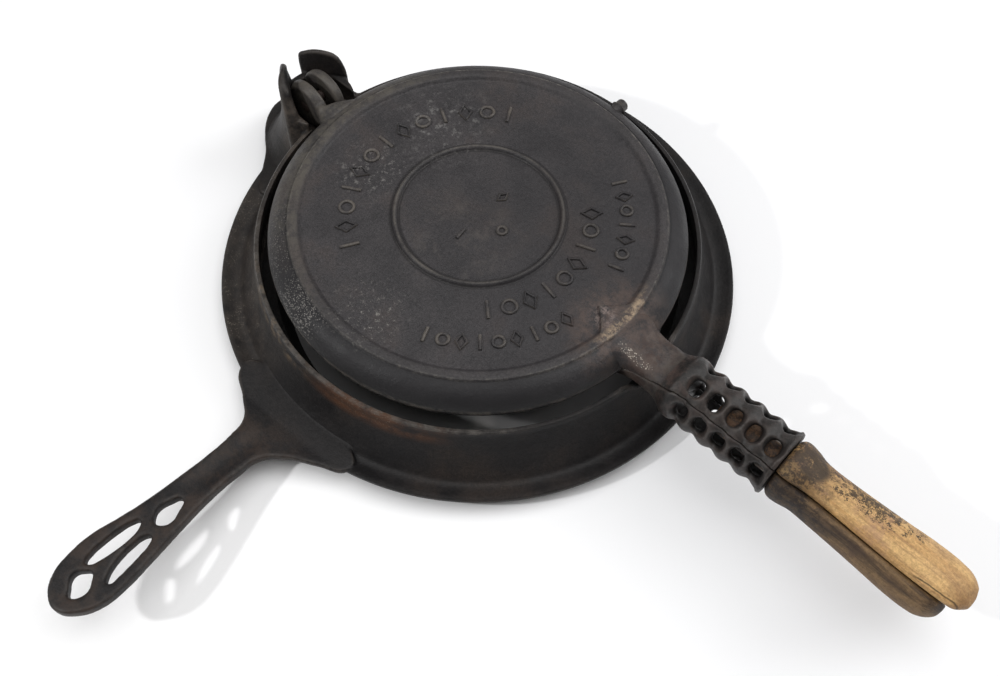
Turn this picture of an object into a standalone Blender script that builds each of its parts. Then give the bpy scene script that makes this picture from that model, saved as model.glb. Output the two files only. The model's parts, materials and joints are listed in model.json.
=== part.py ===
"""A stovetop waffle iron: two cast plates that open like a book and turn over in a stove ring.

Metres, +Z up, +X from the hinge to the wooden grips. The plates' turning axis runs along X.
Shapes are made in the axis frame, whose origin is the ring's centre on the turning axis,
and the finished pieces then hang from empties on their joint axes.
"""

from math import atan2, cos, hypot, pi, radians, sin, sqrt

import bmesh
import bpy
from mathutils import Matrix, Vector

MM = 0.001

# The turning axis and the gaps that every piece shares
AXIS_HEIGHT = 45 * MM
PARTING_GAP = 0.3 * MM
FIT_GAP = 0.3 * MM
OVERRUN = 8 * MM

# Plates
PLATE_RADIUS = 109.6 * MM
PLATE_HALF_THICKNESS = 12.5 * MM
CREST_INSET = 16.6 * MM
CREST_BEVEL = 1.3 * MM
FIELD_DROP = 2.3 * MM
BEAD_RADIUS = 43.5 * MM
BEAD_WIDTH = 3.4 * MM
BEAD_HEIGHT = 1 * MM
WEB_THICKNESS = 3.2 * MM
LAND_WIDTH = 9.6 * MM
CAVITY_DRAFT = 1.5 * MM
SHOULDER_EXPONENT = 1.7
SHOULDER_STEPS = 4
PLATE_STEPS = 52

# Waffle grid
STUD_PITCH = 14.6 * MM
STUD_ROOT_WIDTH = 11.2 * MM
STUD_TIP_WIDTH = 6.8 * MM
STUD_TIP_GAP = 2.5 * MM
STUD_EDGE_GAP = 0.5 * MM
DIVIDER_WIDTH = 3 * MM
DIVIDER_GAP = 2.5 * MM
ROOT_DEPTH_SHARE = 0.4

# Peg on the upper plate's rim
PEG_RADIUS = 3.6 * MM
PEG_SIDE = 2.5 * MM
PEG_ROOT = 8.6 * MM
PEG_CLEARANCE = 1.6 * MM
PEG_STEPS = 16

# Hinge between the plates
HINGE_REACH = 16.4 * MM
KNUCKLE_RADIUS = 14.2 * MM
KNUCKLE_BALL_RADIUS = 15.6 * MM
KNUCKLE_INNER = 3 * MM
KNUCKLE_OUTER = 9.5 * MM
KNUCKLE_STEPS = 24
PIN_RADIUS = 3 * MM
PIN_HEAD_RADIUS = 4.6 * MM
PIN_HEAD_HEIGHT = 1.2 * MM
NECK_HEIGHT = 7.5 * MM
NECK_FLARE = 12 * MM
NECK_OVERLAP = 4 * MM

# Stem and cage
STEM_LENGTH = 28.4 * MM
STEM_HALF_WIDTH = 12.2 * MM
STEM_HALF_HEIGHT = 10 * MM
STEM_EXPONENT = 3
CAGE_RADIUS = 16.75 * MM
CAGE_WAVE = 1.6 * MM
CAGE_WALL = 2.6 * MM
CAGE_END_WALL = 3 * MM
CAGE_SHOULDER = 2 * MM
LIP_RADIUS = 17.9 * MM
LIP_LENGTH = 2.4 * MM
WINDOW_COUNT = 5
WINDOW_PITCH = 10.9 * MM
WINDOW_LENGTH = 6 * MM
WINDOW_WIDTH = 7.8 * MM
WINDOW_SIDES = 8
WINDOW_ANGLES = [radians(26), radians(90), radians(158)]
RING_POINTS = 24
PARTING_ROLL = radians(46)
TWIST_STEPS = 6

# Grips, one wooden half on each plate's cage
GRIP_GAP = 2 * MM
GRIP_RADIUS = 16.3 * MM
UPPER_GRIP_LENGTH = 95.5 * MM
LOWER_GRIP_LENGTH = 88.5 * MM
GRIP_HALF_GAP = 0.5 * MM
GRIP_STEPS = 24

# Long screws that hold the grips, and their washers
SCREW_OFFSET = 6.4 * MM
SCREW_RADIUS = 2 * MM
SCREW_HEAD_RADIUS = 3.4 * MM
SCREW_HEAD_HEIGHT = 2.4 * MM
SCREW_SLOT_WIDTH = 1 * MM
SCREW_SLOT_DEPTH = 1.1 * MM
SCREW_TAIL = 8 * MM
WASHER_RADIUS = 4 * MM
WASHER_THICKNESS = 1 * MM
COUNTERBORE_DEPTH = 6 * MM
SCREW_STEPS = 12

# Base ring
COLLAR_GAP = 6.3 * MM
COLLAR_THICKNESS = 2.6 * MM
COLLAR_DROP = 5.2 * MM
WALL_THICKNESS = 3.2 * MM
WALL_SPREAD = 10.8 * MM
FLANGE_WIDTH = 10.9 * MM
FLANGE_HEIGHT = 12 * MM
FLANGE_THICKNESS = 3.5 * MM
GUTTER_DEPTH = 1.5 * MM
FOOT_WIDTH = 5 * MM
EDGE_ROUND = 0.8 * MM
SWING_CLEARANCE = 1 * MM
BASE_STEPS = 60

# Notch for the stem, at the front of the collar
NOTCH_CLEARANCE = 3.6 * MM
NOTCH_FILLET = 14 * MM
NOTCH_STEPS = 4

# Hinge seat, ears and tongue, at the back of the base
SEAT_CLEARANCE = 0.7 * MM
SEAT_WALL = 3.2 * MM
SEAT_STEPS = 24
EAR_THICKNESS = 3.4 * MM
EAR_BEVEL = 0.9 * MM
EAR_HEIGHT = 17 * MM
EAR_LENGTH = 22.2 * MM
LEFT_EAR_RISE = 1.15
EAR_FLARE = radians(33.4)
TONGUE_REACH = 41 * MM
TONGUE_HALF_WIDTH = 20 * MM
TONGUE_STEP = 0.4 * MM

# Side handle, cast in one piece with the base
HANDLE_REACH = 131 * MM
HANDLE_HALF_WIDTH = 15.3 * MM
HANDLE_THICKNESS = 6.8 * MM
HANDLE_BEVEL = 1.6 * MM
HANDLE_RISE = 22.5 * MM
HANDLE_TURN = radians(-86.2)
HANDLE_SKEW = 15.4 * MM
HANDLE_ROOT_THICKNESS = 3.6 * MM
HANDLE_CUTS = 7
RISE_EXPONENT = 1.4

# Sizes that follow from the ones above
CREST_RADIUS = PLATE_RADIUS - CREST_INSET
FIELD_HEIGHT = PLATE_HALF_THICKNESS - FIELD_DROP
CAVITY_HEIGHT = FIELD_HEIGHT - WEB_THICKNESS
CAVITY_RADIUS = PLATE_RADIUS - LAND_WIDTH - CAVITY_DRAFT
PARTING = PARTING_GAP / 2
HINGE_X = -(PLATE_RADIUS + HINGE_REACH)
CAGE_START = PLATE_RADIUS + STEM_LENGTH
CAGE_END = CAGE_START + WINDOW_COUNT * WINDOW_PITCH + LIP_LENGTH
CAGE_BORE = CAGE_RADIUS - CAGE_WAVE - CAGE_WALL
GRIP_START = CAGE_END + GRIP_GAP
COLLAR_RADIUS = PLATE_RADIUS + COLLAR_GAP
PEG_SWING = COLLAR_RADIUS - PEG_CLEARANCE
WALL_FOOT_RADIUS = COLLAR_RADIUS + COLLAR_THICKNESS + WALL_SPREAD
FLANGE_RADIUS = WALL_FOOT_RADIUS + FLANGE_WIDTH
TABLE = -AXIS_HEIGHT
FLANGE_TOP = TABLE + FLANGE_HEIGHT
FLANGE_BOTTOM = FLANGE_TOP - FLANGE_THICKNESS
COLLAR_TOP = -COLLAR_DROP
BORE_RADIUS = PIN_RADIUS + FIT_GAP
SCREW_BORE = SCREW_RADIUS + FIT_GAP
HALF_ROLL = PARTING_ROLL + pi / 2

# Stem and pad: share of the stem's length past the plate, and shares of its half width and height
STEM_SECTION_SHARES = [
    (-1.04, 1.36, 0.93),
    (-0.62, 1.43, 1.32),
    (-0.34, 1.39, 1.42),
    (-0.06, 1.17, 1.22),
    (0.19, 1.03, 1.04),
    (0.44, 1.00, 1.00),
    (0.65, 1.05, 1.08),
    (0.81, 1.25, 1.42),
    (0.93, 1.50, 1.80),
]

# Grip: share of its length, and share of its radius
GRIP_PROFILE_SHARES = [
    (0.00, 0.94),
    (0.03, 1.00),
    (0.10, 0.98),
    (0.20, 0.87),
    (0.30, 0.84),
    (0.45, 0.88),
    (0.60, 0.94),
    (0.75, 0.98),
    (0.88, 0.95),
    (0.96, 0.86),
    (1.00, 0.72),
]

# Base wall: share of the way down from collar to flange, and share of its outward spread
WALL_SHARES = [(0.00, 0.00), (0.28, 0.12), (0.62, 0.36), (0.86, 0.68), (1.00, 1.00)]

# Ear outline: shares of its length (forward) and of its height, from the hinge's axis
EAR_SHARES = [
    (-0.10, -1.95),
    (0.08, -1.90),
    (0.33, -1.45),
    (0.50, -1.12),
    (0.52, -0.92),
    (0.28, -0.82),
    (0.12, -0.70),
    (0.05, -0.52),
    (0.03, -0.25),
    (0.02, 0.10),
    (-0.04, 0.54),
    (-0.17, 0.88),
    (-0.42, 1.00),
    (-0.66, 0.98),
    (-0.86, 0.87),
    (-0.98, 0.76),
    (-1.00, 0.60),
    (-1.00, -0.12),
    (-0.99, -0.80),
    (-0.96, -1.40),
    (-0.93, -1.95),
]

# Side handle outline: share of its reach past the flange, and share of its half width
HANDLE_OUTLINE_SHARES = [
    (-0.03, 3.00),
    (0.03, 2.15),
    (0.09, 1.24),
    (0.16, 0.70),
    (0.26, 0.62),
    (0.38, 0.64),
    (0.54, 0.80),
    (0.68, 0.96),
    (0.80, 1.06),
    (0.89, 1.00),
    (0.96, 0.68),
    (1.00, 0.14),
    (0.98, -0.40),
    (0.92, -0.79),
    (0.84, -0.94),
    (0.75, -0.95),
    (0.65, -0.79),
    (0.54, -0.65),
    (0.38, -0.57),
    (0.24, -0.56),
    (0.16, -0.63),
    (0.08, -0.81),
    (0.01, -1.50),
    (-0.07, -2.35),
    (-0.13, -2.30),
    (-0.08, 2.90),
]
HANDLE_HOLE_SHARES = [
    [(0.451, 0.08), (0.499, 0.38), (0.544, 0.49), (0.575, 0.34), (0.583, 0.14),
     (0.566, -0.08), (0.538, -0.20), (0.490, -0.13)],
    [(0.604, -0.25), (0.627, -0.04), (0.669, 0.05), (0.728, 0.04), (0.786, -0.05), (0.826, -0.20),
     (0.832, -0.40), (0.800, -0.53), (0.747, -0.56), (0.685, -0.53), (0.630, -0.43)],
    [(0.618, 0.36), (0.644, 0.56), (0.689, 0.65), (0.745, 0.72), (0.792, 0.75), (0.826, 0.74),
     (0.832, 0.62), (0.812, 0.42), (0.780, 0.28), (0.738, 0.18), (0.690, 0.14), (0.640, 0.17)],
    [(0.834, 0.02), (0.858, 0.27), (0.888, 0.43), (0.914, 0.41), (0.937, 0.28), (0.943, 0.12),
     (0.922, -0.11), (0.896, -0.32), (0.874, -0.35), (0.852, -0.21)],
]

# Tongue under the ears: share of its reach behind the hinge, and share of its half width
TONGUE_SHARES = [
    (-0.15, 2.60),
    (0.10, 2.30),
    (0.27, 1.90),
    (0.42, 1.56),
    (0.62, 1.24),
    (0.82, 0.86),
    (0.94, 0.50),
    (1.00, 0.16),
]


def clear_scene():
    for obj in list(bpy.data.objects):
        bpy.data.objects.remove(obj, do_unlink=True)


def new_collection(name):
    collection = bpy.data.collections.new(name)
    bpy.context.scene.collection.children.link(collection)
    return collection


def material(name, color, roughness, metallic):
    made = bpy.data.materials.new(name)
    made.use_nodes = True
    shader = made.node_tree.nodes["Principled BSDF"]
    shader.inputs["Base Color"].default_value = (*color, 1)
    shader.inputs["Roughness"].default_value = roughness
    shader.inputs["Metallic"].default_value = metallic
    made.diffuse_color = (*color, 1)
    return made


def construction_object(name, data):
    """A building shape: seen as wires only, and never part of the model by itself."""
    obj = bpy.data.objects.new(name, data)
    construction.objects.link(obj)
    obj.hide_render = True
    obj.display_type = "WIRE"
    return obj


def shape_from_bmesh(name, bm):
    bmesh.ops.recalc_face_normals(bm, faces=bm.faces)
    mesh = bpy.data.meshes.new(name)
    bm.to_mesh(mesh)
    bm.free()
    return construction_object(name, mesh)


def settled_mesh(source, name):
    """The shape with its modifiers, in the axis frame."""
    bpy.context.view_layer.update()
    depsgraph = bpy.context.evaluated_depsgraph_get()
    mesh = bpy.data.meshes.new_from_object(source.evaluated_get(depsgraph), depsgraph=depsgraph)
    mesh.transform(source.matrix_world)
    mesh.name = name
    return mesh


def combine(target, others, operation):
    for other in others:
        step = target.modifiers.new(f"{operation} {other.name}", "BOOLEAN")
        step.operation = operation
        step.solver = "EXACT"
        step.object = other


def turned(name, profile, steps, closed, placed=Matrix.Identity(4)):
    """A profile of (radius, height) turned about its local Z, run down its outer side."""
    bm = bmesh.new()
    points = [bm.verts.new((radius, 0, height)) for radius, height in profile]
    for first, second in zip(points, points[1:]):
        bm.edges.new((first, second))
    if closed:
        bm.edges.new((points[-1], points[0]))
    mesh = bpy.data.meshes.new(name)
    bm.to_mesh(mesh)
    bm.free()
    obj = construction_object(name, mesh)
    obj.matrix_world = placed
    screw = obj.modifiers.new("turn", "SCREW")
    screw.steps = steps
    screw.render_steps = steps
    screw.use_merge_vertices = True
    screw.merge_threshold = 0.01 * MM
    return obj


def flat_shape(name, outlines, thickness, bevel, placed, smooth=True):
    """Closed outlines in the local XY plane, given a thickness along Z; inner ones are holes."""
    curve = bpy.data.curves.new(name, "CURVE")
    curve.dimensions = "2D"
    curve.fill_mode = "BOTH"
    curve.extrude = thickness / 2 - bevel
    curve.bevel_depth = bevel
    curve.bevel_resolution = 0
    curve.offset = -bevel
    curve.resolution_u = 2
    for outline in outlines:
        spline = curve.splines.new("BEZIER" if smooth else "POLY")
        points = spline.bezier_points if smooth else spline.points
        points.add(len(outline) - 1)
        for point, (x, y) in zip(points, outline):
            if smooth:
                point.co = (x, y, 0)
                point.handle_left_type = "AUTO"
                point.handle_right_type = "AUTO"
            else:
                point.co = (x, y, 0, 1)
        spline.use_cyclic_u = True
    source = construction_object(name + " outline", curve)
    source.matrix_world = placed
    mesh = settled_mesh(source, name)
    bpy.data.objects.remove(source)
    bm = bmesh.new()
    bm.from_mesh(mesh)
    bmesh.ops.remove_doubles(bm, verts=bm.verts, dist=0.01 * MM)
    bpy.data.meshes.remove(mesh)
    return shape_from_bmesh(name, bm)


def loft(name, rings, hub=None):
    """One closed solid through rings of equally many points; faces at the hub point fan from it."""
    bm = bmesh.new()
    rows = [[bm.verts.new(point) for point in ring] for ring in rings]
    count = len(rows[0])
    for row, following in zip(rows, rows[1:]):
        for i in range(count):
            j = (i + 1) % count
            if hub == j:
                bm.faces.new((row[i], row[j], following[i]))
                bm.faces.new((row[j], following[j], following[i]))
            elif hub == i:
                bm.faces.new((row[i], row[j], following[j]))
                bm.faces.new((row[i], following[j], following[i]))
            else:
                bm.faces.new((row[i], row[j], following[j], following[i]))
    bm.faces.new(rows[0])
    bm.faces.new(rows[-1])
    return shape_from_bmesh(name, bm)


def cylinder(name, radius, start, direction, length, steps, end_radius=None):
    bm = bmesh.new()
    turn = direction.to_track_quat("Z", "Y").to_matrix().to_4x4()
    place = Matrix.Translation(start) @ turn @ Matrix.Translation((0, 0, length / 2))
    bmesh.ops.create_cone(
        bm,
        cap_ends=True,
        segments=steps,
        radius1=radius,
        radius2=radius if end_radius is None else end_radius,
        depth=length,
        matrix=place,
    )
    return shape_from_bmesh(name, bm)


def box(name, low, high):
    bm = bmesh.new()
    middle = (Vector(low) + Vector(high)) / 2
    size = Vector(high) - Vector(low)
    bmesh.ops.create_cube(bm, size=1, matrix=Matrix.Translation(middle) @ Matrix.Diagonal((*size, 1)))
    return shape_from_bmesh(name, bm)


def shoulder_height(radius):
    """The plate's outer face from its crest down to its rim."""
    share = (radius - CREST_RADIUS) / CREST_INSET
    rise = max(1 - max(share, 0) ** SHOULDER_EXPONENT, 0) ** (1 / SHOULDER_EXPONENT)
    return PARTING + (PLATE_HALF_THICKNESS - PARTING) * rise


def plate_puck():
    """The plate's outer shape, still solid."""
    half_bead = BEAD_WIDTH / 2
    profile = [
        (0, FIELD_HEIGHT),
        (BEAD_RADIUS - half_bead, FIELD_HEIGHT),
        (BEAD_RADIUS, FIELD_HEIGHT + BEAD_HEIGHT),
        (BEAD_RADIUS + half_bead, FIELD_HEIGHT),
        (CREST_RADIUS - CREST_BEVEL - FIELD_DROP / 2, FIELD_HEIGHT),
        (CREST_RADIUS - CREST_BEVEL, PLATE_HALF_THICKNESS),
    ]
    for step in range(SHOULDER_STEPS):
        radius = CREST_RADIUS + CREST_INSET * sin(pi / 2 * step / SHOULDER_STEPS)
        profile.append((radius, shoulder_height(radius)))
    profile.append((PLATE_RADIUS, PARTING))
    profile.append((0, PARTING))
    return turned("plate puck", profile, PLATE_STEPS, closed=False)


def cavity():
    """The batter's side of the plate, cut into the puck."""
    draft = CAVITY_DRAFT / CAVITY_HEIGHT
    mouth = CAVITY_RADIUS + draft * (CAVITY_HEIGHT + OVERRUN)
    return cylinder(
        "plate cavity",
        mouth,
        Vector((0, 0, -OVERRUN)),
        Vector((0, 0, 1)),
        OVERRUN + CAVITY_HEIGHT,
        PLATE_STEPS,
        end_radius=CAVITY_RADIUS,
    )


def stud_places():
    """Stud centres in one quarter of the grid."""
    half = STUD_ROOT_WIDTH / 2
    reach = CAVITY_RADIUS - STUD_EDGE_GAP
    count = int(reach // STUD_PITCH) + 1
    places = []
    for i in range(count):
        for j in range(count):
            x = (DIVIDER_WIDTH + STUD_PITCH) / 2 + i * STUD_PITCH
            y = (DIVIDER_WIDTH + STUD_PITCH) / 2 + j * STUD_PITCH
            if hypot(x + half, y + half) <= reach:
                places.append((x, y))
    return places


def studs():
    """Square pyramids with cut tips, in four quarters."""
    bm = bmesh.new()
    root = WEB_THICKNESS * ROOT_DEPTH_SHARE
    visible = CAVITY_HEIGHT - STUD_TIP_GAP
    spread = (STUD_ROOT_WIDTH - STUD_TIP_WIDTH) / visible
    root_width = STUD_ROOT_WIDTH + spread * root
    for x, y in stud_places():
        for side_x in (-1, 1):
            for side_y in (-1, 1):
                middle = STUD_TIP_GAP + (visible + root) / 2
                place = Matrix.Translation((side_x * x, side_y * y, middle))
                bmesh.ops.create_cone(
                    bm,
                    cap_ends=True,
                    segments=4,
                    radius1=STUD_TIP_WIDTH / sqrt(2),
                    radius2=root_width / sqrt(2),
                    depth=visible + root,
                    matrix=place @ Matrix.Rotation(pi / 4, 4, "Z"),
                )
    return shape_from_bmesh("waffle studs", bm)


def divider(name, along_x):
    """A rib that parts the waffle, from wall to wall."""
    reach = CAVITY_RADIUS + CAVITY_DRAFT
    half = DIVIDER_WIDTH / 2
    top = CAVITY_HEIGHT + WEB_THICKNESS * ROOT_DEPTH_SHARE
    if along_x:
        return box(name, (-reach, -half, DIVIDER_GAP), (reach, half, top))
    return box(name, (-half, -reach, DIVIDER_GAP), (half, reach, top))


def section_ring(x, half_width, half_height, exponent):
    ring = []
    for i in range(RING_POINTS):
        angle = 2 * pi * i / RING_POINTS
        across = abs(cos(angle)) ** (2 / exponent) * half_width
        up = abs(sin(angle)) ** (2 / exponent) * half_height
        ring.append(Vector((x, across if cos(angle) > 0 else -across, up if sin(angle) > 0 else -up)))
    return ring


def cage_radius(x):
    """The cage swells between its windows and draws in at them."""
    phase = 2 * pi * (x - CAGE_START) / WINDOW_PITCH
    return CAGE_RADIUS - CAGE_WAVE * (1 - cos(phase)) / 2


def handle_rings():
    """Sections of the stem, its shoulder, the cage and the cage's end lip."""
    rings = []
    for length_share, width_share, height_share in STEM_SECTION_SHARES:
        x = PLATE_RADIUS + length_share * STEM_LENGTH
        width = width_share * STEM_HALF_WIDTH
        height = height_share * STEM_HALF_HEIGHT
        rings.append(section_ring(x, width, height, STEM_EXPONENT if length_share < 0.7 else 2))
    shoulder = CAGE_RADIUS + CAGE_SHOULDER
    rings.append(section_ring(CAGE_START, shoulder, shoulder, 2))
    for step in range(1, 2 * WINDOW_COUNT):
        x = CAGE_START + step * WINDOW_PITCH / 2
        rings.append(section_ring(x, cage_radius(x), cage_radius(x), 2))
    for x in (CAGE_END - LIP_LENGTH, CAGE_END):
        rings.append(section_ring(x, LIP_RADIUS, LIP_RADIUS, 2))
    return rings


def cage_windows():
    """Cutters for the three rows of windows in one half of the cage."""
    bm = bmesh.new()
    inner = CAGE_BORE / 2
    depth = CAGE_RADIUS + OVERRUN - inner
    for count in range(WINDOW_COUNT):
        x = CAGE_START + (count + 0.5) * WINDOW_PITCH
        for angle in WINDOW_ANGLES:
            turn = angle + PARTING_ROLL
            outward = Vector((0, -cos(turn), sin(turn)))
            place = Matrix.Translation(Vector((x, 0, 0)) + outward * (inner + depth / 2))
            lean = Matrix((Vector((1, 0, 0)), outward.cross(Vector((1, 0, 0))), outward)).transposed()
            stretch = Matrix.Diagonal((WINDOW_LENGTH / 2, WINDOW_WIDTH / 2, depth, 1))
            bmesh.ops.create_cone(
                bm,
                cap_ends=True,
                segments=WINDOW_SIDES,
                radius1=1,
                radius2=1,
                depth=1,
                matrix=place @ lean.to_4x4() @ stretch,
            )
    return shape_from_bmesh("cage windows", bm)


def roll_at(x):
    """How far the parting has rolled about the axis: none at the rim, all of it at the cage."""
    share = (x - PLATE_RADIUS) / STEM_LENGTH
    return PARTING_ROLL * min(max(share, 0), 1)


def parting_block(name, start, end, half_gap):
    """Everything on the upper side of the rolled parting, from start to end."""
    reach = CAGE_RADIUS + GRIP_RADIUS
    twist_start = PLATE_RADIUS
    places = [start, end]
    for step in range(TWIST_STEPS + 1):
        x = twist_start + step * STEM_LENGTH / TWIST_STEPS
        if start < x < end:
            places.append(x)
    rings = []
    for x in sorted(places):
        roll = roll_at(x)
        along = Vector((0, -cos(roll), sin(roll)))
        above = Vector((0, sin(roll), cos(roll)))
        centre = Vector((x, 0, 0))
        rings.append([
            centre - along * reach + above * half_gap,
            centre + above * half_gap,
            centre + along * reach + above * half_gap,
            centre + along * reach + above * reach,
            centre - along * reach + above * reach,
        ])
    return loft(name, rings, hub=1)


def handle_half():
    """The upper plate's half of the stem and cage."""
    shape = loft("stem and cage", handle_rings())
    bore_start = CAGE_START + CAGE_END_WALL
    bore_length = CAGE_END - CAGE_END_WALL - bore_start
    bore = cylinder("cage bore", CAGE_BORE, Vector((bore_start, 0, 0)), Vector((1, 0, 0)), bore_length, RING_POINTS)
    hole = cylinder(
        "cage screw hole",
        SCREW_BORE,
        half_middle(CAGE_END - CAGE_END_WALL - SCREW_TAIL, SCREW_OFFSET),
        Vector((1, 0, 0)),
        SCREW_TAIL + CAGE_END_WALL + OVERRUN,
        SCREW_STEPS,
    )
    block = parting_block("upper side of the parting", -PLATE_RADIUS, CAGE_END + OVERRUN, PARTING)
    combine(shape, [bore, cage_windows(), hole], "DIFFERENCE")
    combine(shape, [block], "INTERSECT")
    return shape


def half_middle(x, offset):
    """A point at the given distance from the axis, in the middle of the upper half's roll."""
    return Vector((x, -cos(HALF_ROLL) * offset, sin(HALF_ROLL) * offset))


def knuckle():
    """A disc with rounded edges and the pin's bore, turned about the hinge's axis."""
    edge = sqrt(KNUCKLE_BALL_RADIUS ** 2 - KNUCKLE_OUTER ** 2)
    round_start = sqrt(KNUCKLE_BALL_RADIUS ** 2 - KNUCKLE_RADIUS ** 2)
    middle = (round_start + KNUCKLE_OUTER) / 2
    profile = [
        (BORE_RADIUS, KNUCKLE_OUTER),
        (edge, KNUCKLE_OUTER),
        (sqrt(KNUCKLE_BALL_RADIUS ** 2 - middle ** 2), middle),
        (KNUCKLE_RADIUS, round_start),
        (KNUCKLE_RADIUS, KNUCKLE_INNER),
        (BORE_RADIUS, KNUCKLE_INNER),
    ]
    place = Matrix.Translation((HINGE_X, 0, 0)) @ Matrix.Rotation(pi / 2, 4, "X")
    return turned("hinge knuckle", profile, KNUCKLE_STEPS, closed=True, placed=place)


def neck():
    """Joins the knuckle to the plate's rim, clear of the other plate's knuckle."""
    clear = KNUCKLE_RADIUS + 2 * FIT_GAP
    inside = HINGE_REACH + NECK_OVERLAP
    outline = [
        (BORE_RADIUS + KNUCKLE_INNER, -KNUCKLE_OUTER + FIT_GAP),
        (BORE_RADIUS + KNUCKLE_INNER, -KNUCKLE_INNER),
        (clear, -KNUCKLE_INNER),
        (clear, NECK_FLARE / 2),
        (HINGE_REACH, NECK_FLARE),
        (inside, NECK_FLARE),
        (inside, -NECK_FLARE),
        (clear, -NECK_FLARE),
    ]
    place = Matrix.Translation((HINGE_X, 0, (PARTING + NECK_HEIGHT) / 2))
    return flat_shape("hinge neck", [outline], NECK_HEIGHT - PARTING, 0, place, smooth=False)


def plate_casting():
    """One plate as the upper one lies; the lower one is the same casting turned over."""
    shape = plate_puck()
    combine(shape, [handle_half(), neck(), knuckle()], "UNION")
    combine(shape, [cavity()], "DIFFERENCE")
    combine(shape, [divider("divider along", True), divider("divider across", False), studs()], "UNION")
    return settled_mesh(shape, "plate casting")


def rim_peg():
    """A stub on the rim that swings just inside the collar."""
    lift = PEG_RADIUS + PARTING_GAP / 2
    reach = sqrt(PEG_SWING ** 2 - (lift + PEG_RADIUS) ** 2)
    start = Vector((PEG_SIDE, PLATE_RADIUS - PEG_ROOT, lift))
    return cylinder("rim peg", PEG_RADIUS, start, Vector((0, 1, 0)), reach - start.y, PEG_STEPS)


def turned_along_x(name, profile, steps, closed, offset=Vector((0, 0, 0))):
    """Turns a profile of (radius, x) about a line along X; x falls along the profile."""
    place = Matrix.Translation(offset) @ Matrix.Rotation(pi / 2, 4, "Y")
    return turned(name, profile, steps, closed, placed=place)


def grip(name, length):
    """A half-round wooden grip, bored for its screw, in the upper half's place."""
    end = GRIP_START + length
    profile = [(0, end)]
    for length_share, radius_share in reversed(GRIP_PROFILE_SHARES):
        profile.append((GRIP_RADIUS * radius_share, GRIP_START + length_share * length))
    profile.append((0, GRIP_START))
    shape = turned_along_x(name + " round", profile, GRIP_STEPS, closed=False)
    block = parting_block(name + " side", CAGE_START, end + OVERRUN, GRIP_HALF_GAP)
    bore_start = half_middle(GRIP_START - OVERRUN, SCREW_OFFSET)
    bore = cylinder(name + " bore", SCREW_BORE, bore_start, Vector((1, 0, 0)), length + OVERRUN, SCREW_STEPS)
    seat_start = half_middle(end - COUNTERBORE_DEPTH, SCREW_OFFSET)
    seat = cylinder(
        name + " counterbore",
        WASHER_RADIUS + FIT_GAP,
        seat_start,
        Vector((1, 0, 0)),
        COUNTERBORE_DEPTH + OVERRUN,
        SCREW_STEPS,
    )
    combine(shape, [block], "INTERSECT")
    combine(shape, [bore, seat], "DIFFERENCE")
    return settled_mesh(shape, name)


def grip_screw(name, length):
    """A slotted screw from the grip's end through the cage's end wall."""
    under_head = GRIP_START + length - COUNTERBORE_DEPTH + WASHER_THICKNESS + 2 * FIT_GAP
    tip = CAGE_END - CAGE_END_WALL - SCREW_TAIL + FIT_GAP
    top = under_head + SCREW_HEAD_HEIGHT
    profile = [
        (0, top),
        (SCREW_HEAD_RADIUS - EDGE_ROUND, top),
        (SCREW_HEAD_RADIUS, top - EDGE_ROUND),
        (SCREW_HEAD_RADIUS, under_head),
        (SCREW_RADIUS, under_head),
        (SCREW_RADIUS, tip + EDGE_ROUND),
        (SCREW_RADIUS - EDGE_ROUND, tip),
        (0, tip),
    ]
    shape = turned_along_x(name, profile, SCREW_STEPS, closed=False, offset=half_middle(0, SCREW_OFFSET))
    middle = half_middle(top, SCREW_OFFSET)
    slot_half = Vector((SCREW_SLOT_DEPTH, SCREW_HEAD_RADIUS + OVERRUN, SCREW_SLOT_WIDTH / 2))
    slot = box(name + " slot", middle - slot_half, middle + slot_half)
    combine(shape, [slot], "DIFFERENCE")
    return settled_mesh(shape, name)


def grip_washer(name, length):
    low = GRIP_START + length - COUNTERBORE_DEPTH + FIT_GAP
    high = low + WASHER_THICKNESS
    profile = [(SCREW_BORE, high), (WASHER_RADIUS, high), (WASHER_RADIUS, low), (SCREW_BORE, low)]
    offset = half_middle(0, SCREW_OFFSET)
    return settled_mesh(turned_along_x(name, profile, SCREW_STEPS, closed=True, offset=offset), name)


def hinge_pin():
    """A riveted pin through both knuckles."""
    inner = KNUCKLE_OUTER + FIT_GAP
    end = inner + PIN_HEAD_HEIGHT
    profile = [
        (0, end),
        (PIN_HEAD_RADIUS - EDGE_ROUND, end),
        (PIN_HEAD_RADIUS, inner),
        (PIN_RADIUS, inner),
        (PIN_RADIUS, -inner),
        (PIN_HEAD_RADIUS, -inner),
        (PIN_HEAD_RADIUS - EDGE_ROUND, -end),
        (0, -end),
    ]
    place = Matrix.Translation((HINGE_X, 0, 0)) @ Matrix.Rotation(pi / 2, 4, "X")
    return settled_mesh(turned("pin", profile, SCREW_STEPS, closed=False, placed=place), "hinge pin")


def swing_radius(height):
    """The least radius that stays clear of the peg's swing, at a height from the axis."""
    return sqrt(PEG_SWING ** 2 - height ** 2) + SWING_CLEARANCE


def wall_outside():
    """The base wall's outer face, from the collar down to the gutter."""
    top_radius = COLLAR_RADIUS + COLLAR_THICKNESS
    bottom = FLANGE_TOP - EDGE_ROUND / 2
    points = []
    for down_share, out_share in WALL_SHARES:
        height = COLLAR_TOP - EDGE_ROUND + down_share * (bottom - COLLAR_TOP + EDGE_ROUND)
        points.append((top_radius + out_share * WALL_SPREAD, height))
    return points


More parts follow.
